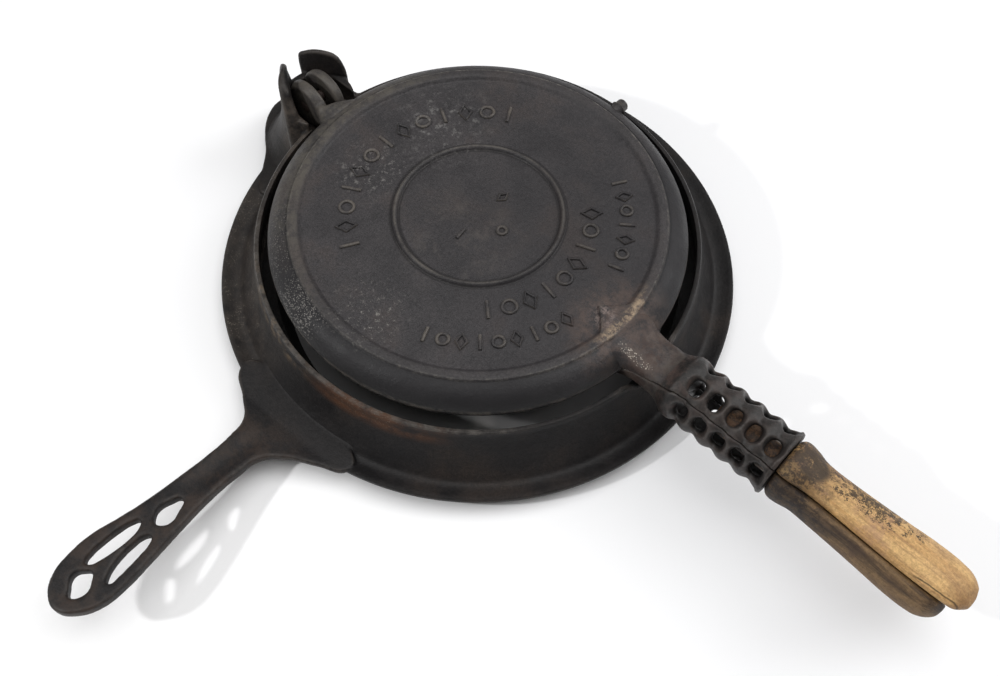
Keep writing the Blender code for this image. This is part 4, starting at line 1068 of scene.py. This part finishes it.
def spline_at(places, values, x):
    """A smooth line through the values, with no overshoot past the ends."""
    places, values = np.array(places), np.array(values)
    i = int(np.clip(np.searchsorted(places, x) - 1, 0, len(places) - 2))
    slopes = np.gradient(values, places)
    width = places[i + 1] - places[i]
    t = clamped((x - places[i]) / width)
    return float(
        (1 + 2 * t) * (1 - t) ** 2 * values[i]
        + t * (1 - t) ** 2 * width * slopes[i]
        + t * t * (3 - 2 * t) * values[i + 1]
        + t * t * (t - 1) * width * slopes[i + 1]
    )


def section(x, half_width, half_height, squareness, count=72):
    """A closed ring across X: round at a squareness of 2, and squarer above it."""
    ring = []
    for step in range(count):
        angle = tau * (step + 0.5) / count
        across = abs(cos(angle)) ** (2 / squareness) * half_width
        up = abs(sin(angle)) ** (2 / squareness) * half_height
        ring.append(Vector((x, across if cos(angle) > 0 else -across, up if sin(angle) > 0 else -up)))
    return ring


def roll_at(x):
    """The parting lies level at the plates and turns to the grips' roll along the stem."""
    return PARTING_ROLL * clamped((x - PLATE_RADIUS) / STEM_LENGTH)


def parting_block(end):
    """Everything on the upper side of the rolled parting, from the middle to the end."""
    reach = 45 * MM
    stem = [PLATE_RADIUS + STEM_LENGTH * step / 24 for step in range(25)]
    rings = []
    for x in [0, *stem, end]:
        along, above = parting_axes(roll_at(x))
        centre = Vector((x, 0, 0)) + above * PARTING
        rings.append([
            centre - along * reach,
            centre,
            centre + along * reach,
            centre + along * reach + above * reach,
            centre - along * reach + above * reach,
        ])
    return loft("parting", rings)


def stem_half():
    """Pad, stem and the start of the shoulder, on the upper side of the parting."""
    rings = []
    start, end = PLATE_RADIUS - 0.48 * STEM_LENGTH, CAGE_START + 1.5 * MM
    for step in range(61):
        x = start + (end - start) * step / 60
        width, height, squareness = stem_size(min(x, CAGE_START))
        rings.append(section(x, width, height, squareness))
    stem = loft("stem", rings)
    return combined(stem, [parting_block(160 * MM)], "INTERSECT")


def pad():
    """The pointed plateau inside the crest, in line with the stem."""
    half = [(80.8, 0.2), (86.5, 5), (91, 9.8), (92.8, 14), (94.2, 18), (96.6, 15.5), (97.6, 8)]
    outline = [(x * MM, y * MM) for x, y in half] + [(x * MM, -y * MM) for x, y in reversed(half[1:])]
    top = PLATE_TOP + 0.15 * MM
    rings = [[Vector((x, y, level)) for x, y in outline] for level in (5 * MM, top)]
    return loft("pad", rings)


def knuckle_and_neck():
    """The hinge disc with its bore, and the rounded web that joins it to the rim."""
    inner, outer = 3 * MM, 9.5 * MM
    profile = [(3.3 * MM, outer), (7.4 * MM, outer), (9 * MM, outer - 0.2 * MM)]
    for step in range(9):
        width = outer - 0.3 * MM - (outer - 6.4 * MM) * step / 8
        profile.append((min(sqrt(BALL_RADIUS ** 2 - width ** 2), KNUCKLE_RADIUS), width))
    profile += [(KNUCKLE_RADIUS, inner + 0.7 * MM), (KNUCKLE_RADIUS - 0.7 * MM, inner), (3.3 * MM, inner)]
    turn = Matrix.Translation((HINGE_X, 0, 0)) @ Matrix.Rotation(pi / 2, 4, "X")
    disc = turned("knuckle", profile, 72, turn)
    rings = []
    for step in range(17):
        share = step / 16
        x = HINGE_X + 7 * MM + share * 16 * MM
        low_y = -9.3 - 7.5 * share ** 1.6
        high_y = (-3.2 if share < 0.44 else -3.2 + 19 * ((share - 0.44) / 0.56) ** 0.6)
        middle, half = (low_y + high_y) / 2 * MM, (high_y - low_y) / 2 * MM
        top = (8.6 + 1.2 * share) * MM
        angles = [pi * i / 27 for i in range(28)]
        rings.append([
            Vector((x, middle + half * cos(angle), PARTING + (top - PARTING) * sin(angle) ** 0.6)) for angle in angles
        ])
    return [disc, loft("neck", rings)]


def plate_disc():
    return worn(turned("plate", plate_section(), 300))


def stem_and_knuckle_casting():
    """The pad and stem at one side and the hinge knuckle at the other, with their fillets."""
    reach = 120 * MM
    near_stem = box("near stem", (62 * MM, -46 * MM, -reach), (reach, 46 * MM, reach))
    near_hinge = box("near hinge", (-reach, -42 * MM, -reach), (-86 * MM, 42 * MM, reach))
    around = []
    for block in (near_stem, near_hinge):
        around.append(combined(turned("low plate", low_plate_section(), 240), [block], "INTERSECT"))
    solids = [*around, stem_half(), pad(), *knuckle_and_neck()]
    return worn(cast_in_iron("stem and knuckle casting", solids, 0.72 * MM, 4))


# Vented cage


def cage_radius(x):
    """The cage's outside, waved once for each row of windows, with a plain lip at its end."""
    if x > CAGE_END - 2.4 * MM:
        return CAGE_LIP
    phase = tau * (x - CAGE_START) / WINDOW_PITCH
    swell = ((1 + cos(phase)) / 2) ** 0.7
    return CAGE_RADIUS - CAGE_WAVE * (1 - swell)


# A window's flare at each depth, in millimetres from the axis
WINDOW_FLARE = ((6, 0.95), (12.6, 1), (13.8, 1.1), (15, 1.32), (16.2, 1.66), (24, 3.4))


def cage_windows():
    """The cutters of the oval windows, which flare out towards the outside."""
    cutters = []
    for count in range(WINDOW_COUNT):
        x = CAGE_START + (count + 0.5) * WINDOW_PITCH + 1.1 * MM
        for angle in WINDOW_ANGLES:
            outward, _ = parting_axes(radians(angle) + PARTING_ROLL)
            across = outward.cross(Vector((1, 0, 0)))
            rings = []
            for depth, flare in WINDOW_FLARE:
                ring = []
                for step in range(28):
                    spin = tau * step / 28
                    length = copysign(abs(cos(spin)) ** 0.8 * WINDOW_HALF_LENGTH * flare, cos(spin))
                    width = copysign(abs(sin(spin)) ** 0.8 * WINDOW_HALF_WIDTH * (1 + (flare - 1) * 0.5), sin(spin))
                    ring.append(Vector((x + length, 0, 0)) + across * width + outward * depth * MM)
                rings.append(ring)
            cutters.append(loft("window", rings))
    return joined("windows", cutters)


def cage_casting():
    """Half of the shoulder and vented cage, with a raised edge along the parting."""
    rings = []
    start = CAGE_START - 9 * MM
    for step in range(17):
        x = start + (CAGE_START - start) * step / 16
        width, height, squareness = stem_size(x)
        rings.append(section(x, width + 0.05 * MM, height + 0.05 * MM, squareness, 96))
    length = CAGE_END - CAGE_START
    start_radius = held_to(SHOULDER, STEM_CAP)
    for step in range(1, 115):
        x = CAGE_START + length * step / 114
        fade = clamped((x - CAGE_START) / (6 * MM))
        fade = fade * fade * (3 - 2 * fade)
        radius = start_radius + (cage_radius(x) - start_radius) * fade
        if x > CAGE_END - 1.2 * MM:
            radius = CAGE_LIP - 0.5 * MM
        rings.append(section(x, radius, radius, 2, 96))
    bore = rod("bore", CAGE_BORE, CAGE_START + 3 * MM, CAGE_END - 3 * MM, 72, along_x())
    hole = rod("hole", SCREW_BORE, CAGE_END - 11 * MM, CAGE_END + 8 * MM, 32, screw_axis())
    pierced = combined(loft("cage", rings), [bore, cage_windows(), hole], "DIFFERENCE")
    half = combined(pierced, [parting_block(220 * MM)], "INTERSECT")
    ridges = [parting_ridge(side) for side in (-1, 1)]
    return worn(cast_in_iron("cage casting", [half, *ridges], 0.62 * MM, 5))


def parting_ridge(side):
    """The raised edge along one side of the parting."""
    along, above = parting_axes()
    along = along * side
    rows = []
    for step in range(70):
        x = CAGE_START + 1 * MM + (CAGE_END - CAGE_START - 2.5 * MM) * step / 69
        reach = cage_radius(min(x, CAGE_END - 3 * MM))
        base = Vector((x, 0, 0))
        rows.append([
            base + along * (CAGE_BORE + 1.2 * MM) + above * PARTING,
            base + along * (reach + 0.1 * MM) + above * PARTING,
            base + along * (reach - 0.2 * MM) + above * (PARTING + 1.3 * MM),
            base + along * (CAGE_BORE + 1.2 * MM) + above * (PARTING + 3.2 * MM),
        ])
    return loft("parting ridge", rows)


def screw_axis():
    """The place of the upper grip's screw, beside the turning axis and along it."""
    return along_x(0, -cos(HALF_ROLL) * SCREW_OFFSET, sin(HALF_ROLL) * SCREW_OFFSET)


# Geometry Nodes


class Tree(Nodes):
    """A Geometry Nodes tree with named sizes."""

    def __init__(self, name, sizes):
        super().__init__(bpy.data.node_groups.new(name, "GeometryNodeTree"))
        self.tree.interface.new_socket("Geometry", in_out="OUTPUT", socket_type="NodeSocketGeometry")
        self.sizes = sizes
        self.names = {}
        for title, value in sizes.items():
            kind = "NodeSocketInt" if isinstance(value, int) else "NodeSocketFloat"
            self.names[title] = self.tree.interface.new_socket(title, in_out="INPUT", socket_type=kind).identifier
        self.inputs = self.node("NodeGroupInput")
        self.output = self.node("NodeGroupOutput")

    def size(self, title):
        return self.inputs.outputs[title]

    def made(self, name, geometry, material):
        """Runs the tree on an empty carrier and returns the plain mesh."""
        real = self.node("GeometryNodeRealizeInstances", {"Geometry": geometry})
        paint = self.node("GeometryNodeSetMaterial", {"Geometry": real.outputs[0], "Material": material})
        self.wire(paint.outputs[0], self.output.inputs[0])
        carrier = link(name + " carrier", bpy.data.meshes.new(name + " carrier"))
        grown = carrier.modifiers.new("grow", "NODES")
        grown.node_group = self.tree
        for title, value in self.sizes.items():
            grown[self.names[title]] = value
        made = settled(carrier, name)
        drop(carrier)
        return made


def waffle_studs():
    """Square pyramids with cut tips in four quarters of the cavity."""
    tree = Tree("waffle studs", {
        "Pitch": 14.6 * MM, "Per side": 14, "Root": 11.2 * MM, "Tip": 6.8 * MM, "Height": 5.7 * MM,
        "Divider": 3 * MM, "Reach": 98 * MM, "Tip gap": 2.5 * MM,
    })
    span = tree.times(tree.maths("SUBTRACT", tree.size("Per side"), 1.0), tree.size("Pitch"))
    grid = tree.node("GeometryNodeMeshGrid", {
        "Size X": span, "Size Y": span, "Vertices X": tree.size("Per side"), "Vertices Y": tree.size("Per side"),
    })
    place = tree.node("GeometryNodeInputPosition").outputs[0]
    parts = tree.node("ShaderNodeSeparateXYZ", {0: place})
    half = tree.times(tree.size("Divider"), 0.5)
    moves, corners = [], []
    for axis in (0, 1):
        side = tree.maths("SIGN", parts.outputs[axis])
        moves.append(tree.times(side, half))
        distance = tree.maths("ADD", tree.maths("ABSOLUTE", parts.outputs[axis]), half)
        corners.append(tree.maths("ADD", distance, tree.times(tree.size("Root"), 0.5)))
    squares = [tree.times(corner, corner) for corner in corners]
    reach = tree.maths("SQRT", tree.maths("ADD", *squares))
    outside = tree.maths("GREATER_THAN", reach, tree.size("Reach"))
    kept = tree.node(
        "GeometryNodeDeleteGeometry", {"Geometry": grid.outputs["Mesh"], "Selection": outside}, domain="POINT"
    )
    shift = tree.node("ShaderNodeCombineXYZ", {0: moves[0], 1: moves[1], 2: tree.size("Tip gap")})
    spread = tree.node("GeometryNodeSetPosition", {"Geometry": kept.outputs[0], "Offset": shift.outputs[0]})
    corner_scale = sqrt(0.5)
    stud = tree.node("GeometryNodeMeshCone", {
        "Vertices": 4,
        "Radius Bottom": tree.times(tree.size("Tip"), corner_scale),
        "Radius Top": tree.times(tree.size("Root"), corner_scale),
        "Depth": tree.size("Height"),
    })
    instances = tree.node("GeometryNodeInstanceOnPoints", {
        "Points": spread.outputs[0], "Instance": stud.outputs["Mesh"], "Rotation": (0, 0, pi / 4),
    })
    return tree.made("waffle studs", instances.outputs[0], MATERIALS["plate"])


def waffle_grid():
    """Studs and the two ribs that part the waffle, rounded as one casting."""
    ribs = []
    reach = 99.4 * MM
    for turn in (0, pi / 2):
        foot, top = (1.5 * MM, 2.6 * MM), (2.3 * MM, 7.6 * MM)
        rings = []
        for x in (-reach, reach):
            rings.append([(x, -foot[0], foot[1]), (x, *foot), (x, *top), (x, -top[0], top[1])])
        rib = loft("rib", rings)
        rib.data.transform(Matrix.Rotation(turn, 4, "Z"))
        ribs.append(rib)
    made = joined("waffle grid", [waffle_studs(), *ribs])
    edges = made.modifiers.new("soft edges", "BEVEL")
    edges.width = 0.7 * MM
    edges.segments = 3
    edges.limit_method = "ANGLE"
    edges.angle_limit = radians(40)
    grid = settled(made, "waffle grid")
    drop(made)
    return worn(grid, 40)


def raised_band(name, radius, start, end, count, height):
    """Small raised rings, lozenges and bars in turn along an arc of the plate's field."""
    tree = Tree(name, {
        "Radius": radius, "Start": start, "Sweep": end - start, "Count": count,
        "Height": height, "Stroke": 0.9 * MM, "Level": FIELD_HEIGHT + 0.35 * MM,
    })
    path = tree.node("GeometryNodeCurveArc", {
        "Resolution": 240, "Radius": tree.size("Radius"), "Start Angle": tree.size("Start"),
        "Sweep Angle": tree.size("Sweep"),
    })
    points = tree.node(
        "GeometryNodeCurveToPoints", {"Curve": path.outputs[0], "Count": tree.size("Count")}, mode="COUNT"
    )
    level = tree.node("ShaderNodeCombineXYZ", {2: tree.size("Level")})
    lifted = tree.node("GeometryNodeSetPosition", {"Geometry": points.outputs["Points"], "Offset": level.outputs[0]})
    tangent = {"Vector": points.outputs["Tangent"]}
    facing = tree.node("FunctionNodeAlignRotationToVector", tangent, axis="X", pivot_axis="Z")
    half = tree.times(tree.size("Height"), 0.5)
    low = tree.node("ShaderNodeCombineXYZ", {1: tree.times(half, -1.0)})
    high = tree.node("ShaderNodeCombineXYZ", {1: half})
    bar = tree.node("GeometryNodeCurvePrimitiveLine", {"Start": low.outputs[0], "End": high.outputs[0]})
    ring_radius = tree.times(half, 0.72)
    ring = tree.node("GeometryNodeCurvePrimitiveCircle", {"Resolution": 20, "Radius": ring_radius})
    wide = tree.times(tree.size("Height"), 0.64)
    corners = []
    for across, up in ((0.0, 0.5), (0.5, 0.0), (0.0, -0.5), (-0.5, 0.0)):
        corner = {0: tree.times(wide, across), 1: tree.times(tree.size("Height"), up)}
        corners.append(tree.node("ShaderNodeCombineXYZ", corner).outputs[0])
    corners = {f"Point {number}": corner for number, corner in enumerate(corners, 1)}
    lozenge = tree.node("GeometryNodeCurvePrimitiveQuadrilateral", corners, mode="POINTS")
    thread = tree.node("GeometryNodeCurvePrimitiveCircle", {"Resolution": 8, "Radius": tree.size("Stroke")})
    order = tree.maths("MODULO", tree.node("GeometryNodeInputIndex").outputs[0], 3.0)
    rows = tree.node("GeometryNodeJoinGeometry")
    for number, curve in enumerate((bar, ring, lozenge)):
        stroke = tree.node("GeometryNodeCurveToMesh", {
            "Curve": curve.outputs[0], "Profile Curve": thread.outputs[0], "Fill Caps": True,
        })
        chosen = tree.node("FunctionNodeCompare", {0: order, 1: float(number)}, data_type="FLOAT", operation="EQUAL")
        instances = tree.node("GeometryNodeInstanceOnPoints", {
            "Points": lifted.outputs[0], "Selection": chosen.outputs[0], "Instance": stroke.outputs[0],
            "Rotation": facing.outputs[0],
        })
        tree.wire(instances.outputs[0], rows.inputs[0])
    return worn(tree.made(name, rows.outputs[0], MATERIALS["plate"]), 50)


# Small parts


def rim_peg():
    """A stub on the rim with a soft foot."""
    radius = 3.6 * MM
    edge = 1.1 * MM
    profile = [(0, 0), (radius, 0), (radius, 7.6 * MM), (radius + 0.9 * MM, 8.4 * MM), (radius, 9.6 * MM)]
    profile += arc((radius - edge, 12.3 * MM), edge, 0, pi / 2, 6)
    profile.append((0, 13.4 * MM))
    place = Matrix.Translation((2.5 * MM, PLATE_RADIUS - 8.6 * MM, radius + PARTING))
    return worn(turned("rim peg", profile, 48, place @ Matrix.Rotation(-pi / 2, 4, "X")), 50)


def hinge_rivet():
    """The hinge pin with a domed head at each end."""
    half = 9.3 * MM
    profile = [(0, half + 0.7 * MM)]
    for step in range(1, 7):
        angle = pi / 2 * step / 6
        profile.append((3.9 * MM * sin(angle), half + 0.7 * MM * cos(angle)))
    profile += [(3.7 * MM, half), (3 * MM, half)]
    profile += [(radius, -height) for radius, height in reversed(profile)]
    place = Matrix.Translation((HINGE_X, 0, 0)) @ Matrix.Rotation(pi / 2, 4, "X")
    return smooth(turned("hinge rivet", profile, 40, place), 50)


def grip_screw(length):
    """A slotted screw in the grip's end."""
    under = GRIP_START + length - 4.4 * MM
    top = under + 2.4 * MM
    tip = CAGE_END - 10.7 * MM
    head, shank = 3.4 * MM, 2 * MM
    profile = [(0, top), (head * 0.6, top - 0.05 * MM), (head * 0.9, top - 0.3 * MM), (head, top - 0.8 * MM)]
    profile += [(head, under), (shank, under), (shank, tip + 0.8 * MM), (1.2 * MM, tip), (0, tip)]
    axis = screw_axis()
    across, middle = Vector((0, 6 * MM, 0.5 * MM)), axis.translation
    low, high = middle - across, middle + across
    slot = box("slot", (top - 1.1 * MM, low.y, low.z), (top + 2 * MM, high.y, high.z))
    return smooth(combined(turned("grip screw", profile, 40, axis), [slot], "DIFFERENCE"), 35)


def screw_washer(length):
    low = GRIP_START + length - 5.7 * MM
    high = low + 1 * MM
    profile = [(SCREW_BORE, high), (3.8 * MM, high), (4 * MM, high - 0.2 * MM), (4 * MM, low), (SCREW_BORE, low)]
    return smooth(turned("screw washer", profile, 40, screw_axis()), 35)


# Grip: share of its length, and share of its radius
GRIP = [
    (0.00, 0.97), (0.04, 1.01), (0.09, 0.96), (0.15, 0.86), (0.22, 0.83), (0.30, 0.84), (0.45, 0.89), (0.60, 0.94),
    (0.75, 0.98), (0.88, 0.95), (0.96, 0.86), (1.00, 0.72),
]


def half_round(radius, corner):
    """Half a disc whose two corners are rounded, as (across, up)."""
    corner = min(corner, radius * 0.3)
    middle = sqrt((radius - corner) ** 2 - corner ** 2)
    meet = atan2(corner, middle)
    side = arc((middle, corner), corner, -pi / 2, meet, 8)
    back = arc((0, 0), radius, meet, pi - meet, 36, 1)[:-1]
    return side + back + [(-across, up) for across, up in reversed(side)]


def wooden_grip(name, length, worn_bell, lift):
    """A half-round grip, hand-worn, with softened ends and edges."""
    places = [share * length for share, _ in GRIP]
    sizes = [share * GRIP_RADIUS for _, share in GRIP]
    along, above = parting_axes()
    end = length / MM
    stations = [0, 0.3, 0.8, 1.5, 2.4, *np.linspace(3.6, end - 5, 62)]
    stations += [end - gap for gap in (3.9, 2.9, 2, 1.3, 0.7, 0.3, 0)]
    rings = []
    for station in stations:
        distance = station * MM
        left = length - distance
        radius = spline_at(places, sizes, distance)
        if worn_bell and distance < BELL_REACH:
            radius -= 1.9 * MM * (1 - distance / BELL_REACH) ** 1.5
        start_round = 1 - max(1 - distance / (2.4 * MM), 0) ** 2 * 0.09
        end_round = sqrt(max(1 - max(1 - left / (9.5 * MM), 0) ** 2, 0)) * 0.52 + 0.48
        radius *= start_round * end_round
        corner = (2.6 + 0.6 * sin(station * 0.09)) * MM
        recede = 2.6 * MM * max(1 - left / (7 * MM), 0) ** 2
        x = GRIP_START - GRIP_LEAD + distance * (length + GRIP_LEAD) / length
        centre = Vector((x, 0, 0)) + above * (lift + recede)
        ring = []
        for across, up in half_round(radius, corner):
            angle = atan2(up, across)
            wobble = 0.14 * sin(3 * angle + station * 0.11) + 0.12 * sin(5 * angle - station * 0.07)
            reach = 1 + wobble * MM / radius
            ring.append(centre + along * across * reach + above * up * reach)
        rings.append(ring)
    bore = rod("bore", SCREW_BORE, GRIP_START - 8 * MM, GRIP_START + length + 8 * MM, 32, screw_axis())
    seat_start = GRIP_START + length - 6 * MM
    seat = rod("counterbore", COUNTERBORE, seat_start, seat_start + 14 * MM, 40, screw_axis())
    return smooth(combined(loft(name, rings), [bore, seat], "DIFFERENCE"), 38)


def grip_tenon():
    """A scorched half-round tongue of wood, seen through the cage's windows."""
    along, above = parting_axes()
    start, end = CAGE_START + 19 * MM, CAGE_END - 3 * MM
    rings = []
    for station in (0, 0.4, 1.2, 2.6, 6, 14, 24, 35):
        share = min(station / 2.6, 1)
        x = start + (end - start) * station / 35
        radius = TENON_RADIUS * (0.72 + 0.28 * sqrt(1 - (1 - share) ** 2))
        ring = []
        for across, up in arc((0, 0), radius, 0, pi, 24):
            ring.append(Vector((x, 0, 0)) + above * (max(up, HAIR) + PARTING) + along * across)
        rings.append(ring)
    return smooth(loft("grip tenon", rings), 40)


# Assembly

finished(ring_casting(), "ring_casting", "base", "base_iron", "base", "base_stand")
finished(notch_lip_casting(), "notch_lip", "base", "base_iron", "base", "base_stand")
finished(hinge_seat_casting(), "hinge_seat_and_ears", "base", "base_iron", "base", "base_stand")
finished(side_handle_casting(), "side_handle", "base", "base_iron", "base", "base_stand")

both_plates(plate_disc(), "plate_disc")
both_plates(stem_and_knuckle_casting(), "stem_and_knuckle")
both_plates(cage_casting(), "vented_cage", "cage")
both_plates(waffle_grid(), "waffle_grid")

# Bands of raised marks: radius in millimetres, start and end in degrees, how many, and their height in millimetres
BANDS = [
    (68.2, 120, 241, 13, 10.2), (58.2, -42, 44, 9, 10.2), (76.5, -66, -12, 9, 8.2), (76.5, 18, 59, 7, 8.2),
    (16, -82, 84, 3, 6.5),
]
for number, (radius, start, end, count, height) in enumerate(BANDS, 1):
    band = raised_band(f"band {number}", radius * MM, radians(start), radians(end), count, height * MM)
    both_plates(band, f"raised_band_{number}")

finished(rim_peg(), "rim_peg", "upper_half", "plate_iron", "plate", "upper_plate")
finished(hinge_rivet(), "hinge_rivet", "lower_half", "steel", "cage", "hinge_pin")

upper_grip = wooden_grip("upper", UPPER_GRIP, False, -0.7 * MM)
finished(upper_grip, "upper_wooden_grip", "upper_half", "tan_wood", "tan", "upper_grip")
lower_grip = turned_over(wooden_grip("lower", LOWER_GRIP, True, 1.2 * MM))
finished(lower_grip, "lower_wooden_grip", "lower_half", "dark_wood", "dark", "lower_grip")

finished(grip_tenon(), "upper_grip_tenon", "upper_half", "tan_wood", "tenon", "upper_grip")
finished(turned_over(grip_tenon()), "lower_grip_tenon", "lower_half", "dark_wood", "tenon", "lower_grip")

for maker, part, node in ((grip_screw, "screw", "grip_screw"), (screw_washer, "washer", "screw_washer")):
    finished(maker(UPPER_GRIP), f"upper_end_{part}", "upper_half", "steel", "steel", "upper_" + node)
    finished(turned_over(maker(LOWER_GRIP)), f"lower_end_{part}", "lower_half", "steel", "steel", "lower_" + node)


# Stage: floor, light and camera


def stage():
    """A pale floor with painted shade under the ring and a painted patch of light in that shade, fading into a white
    room.
    """
    floor = box("floor", (-6, -6, -0.02), (6, 6, 0))
    paint = Paint("pale floor")
    paint.colour = paint.mix(paint.spots(1.2, 2, 0.55, 0.3, 0.7), (0.88, 0.885, 0.9), (0.93, 0.93, 0.935))
    radius = paint.length(paint.x, paint.y)
    # Painted shade on the floor under the ring.
    paint.lay((0.03, 0.027, 0.025), paint.fall(radius, 107, 110, 0, 0.82))
    # Painted light: a lighter patch inside that shade, where light falls through the gap.
    paint.lay((0.3, 0.29, 0.28), paint.near((67, -66, TABLE / MM), 1.5, 7), 0.8)
    paint.finish(0.65, 0.0, 0.2)
    seen = paint.node("ShaderNodeLightPath").outputs["Is Camera Ray"]
    fading = paint.node("ShaderNodeMixShader", {
        0: paint.times(paint.rise(radius, 480, 950), seen), 1: paint.shader.outputs[0],
        2: paint.node("ShaderNodeEmission").outputs[0],
    })
    paint.wire(fading.outputs[0], paint.tree.nodes["Material Output"].inputs["Surface"])
    floor.data.materials.append(paint.material)

    world = bpy.data.worlds.new("soft white room")
    bpy.context.scene.world = world
    world.use_nodes = True
    room = Nodes(world.node_tree)
    dim = room.tree.nodes["Background"]
    room.wire((1, 0.985, 0.97, 1), dim.inputs["Color"])
    room.wire(0.25, dim.inputs["Strength"])
    white = room.node("ShaderNodeBackground", {"Color": (1, 1, 1, 1)})
    seen = room.node("ShaderNodeLightPath").outputs["Is Camera Ray"]
    choice = room.node("ShaderNodeMixShader", {0: seen, 1: dim.outputs[0], 2: white.outputs[0]})
    room.wire(choice.outputs[0], room.tree.nodes["World Output"].inputs["Surface"])

    lamp("window", (-0.41, -0.88, 0.8), 0.07, 5.6)
    lamp("ceiling", (0.1, 0.1, 1.5), 1.7, 15.5)
    lamp("far window", (0.6, 0.9, 0.8), 0.9, 8)


def lamp(name, offset, size, power):
    """A round lamp aimed at the ring's middle on the table."""
    data = bpy.data.lights.new(name, "AREA")
    data.shape = "DISK"
    data.size = size
    data.energy = power
    obj = link(name, data)
    middle = Vector((RING.x, RING.y, 0))
    place = middle + Vector(offset)
    aim = middle - place
    obj.matrix_world = Matrix.Translation(place) @ aim.to_track_quat("-Z", "Y").to_matrix().to_4x4()


def camera():
    """The photograph's own point of view."""
    data = bpy.data.cameras.new("camera")
    data.lens = 37.817
    data.sensor_width = 36
    obj = link("camera", data)
    back = -Vector((-0.325882, 0.370683, -0.86971))
    up = Vector((-0.60365, 0.626408, 0.493173))
    turn = Matrix((up.cross(back), up, back)).transposed().to_4x4()
    obj.matrix_world = Matrix.Translation((0.160345, -0.167777, 0.494585)) @ turn
    bpy.context.scene.camera = obj


stage()
camera()
bpy.context.scene.view_settings.view_transform = "Standard"
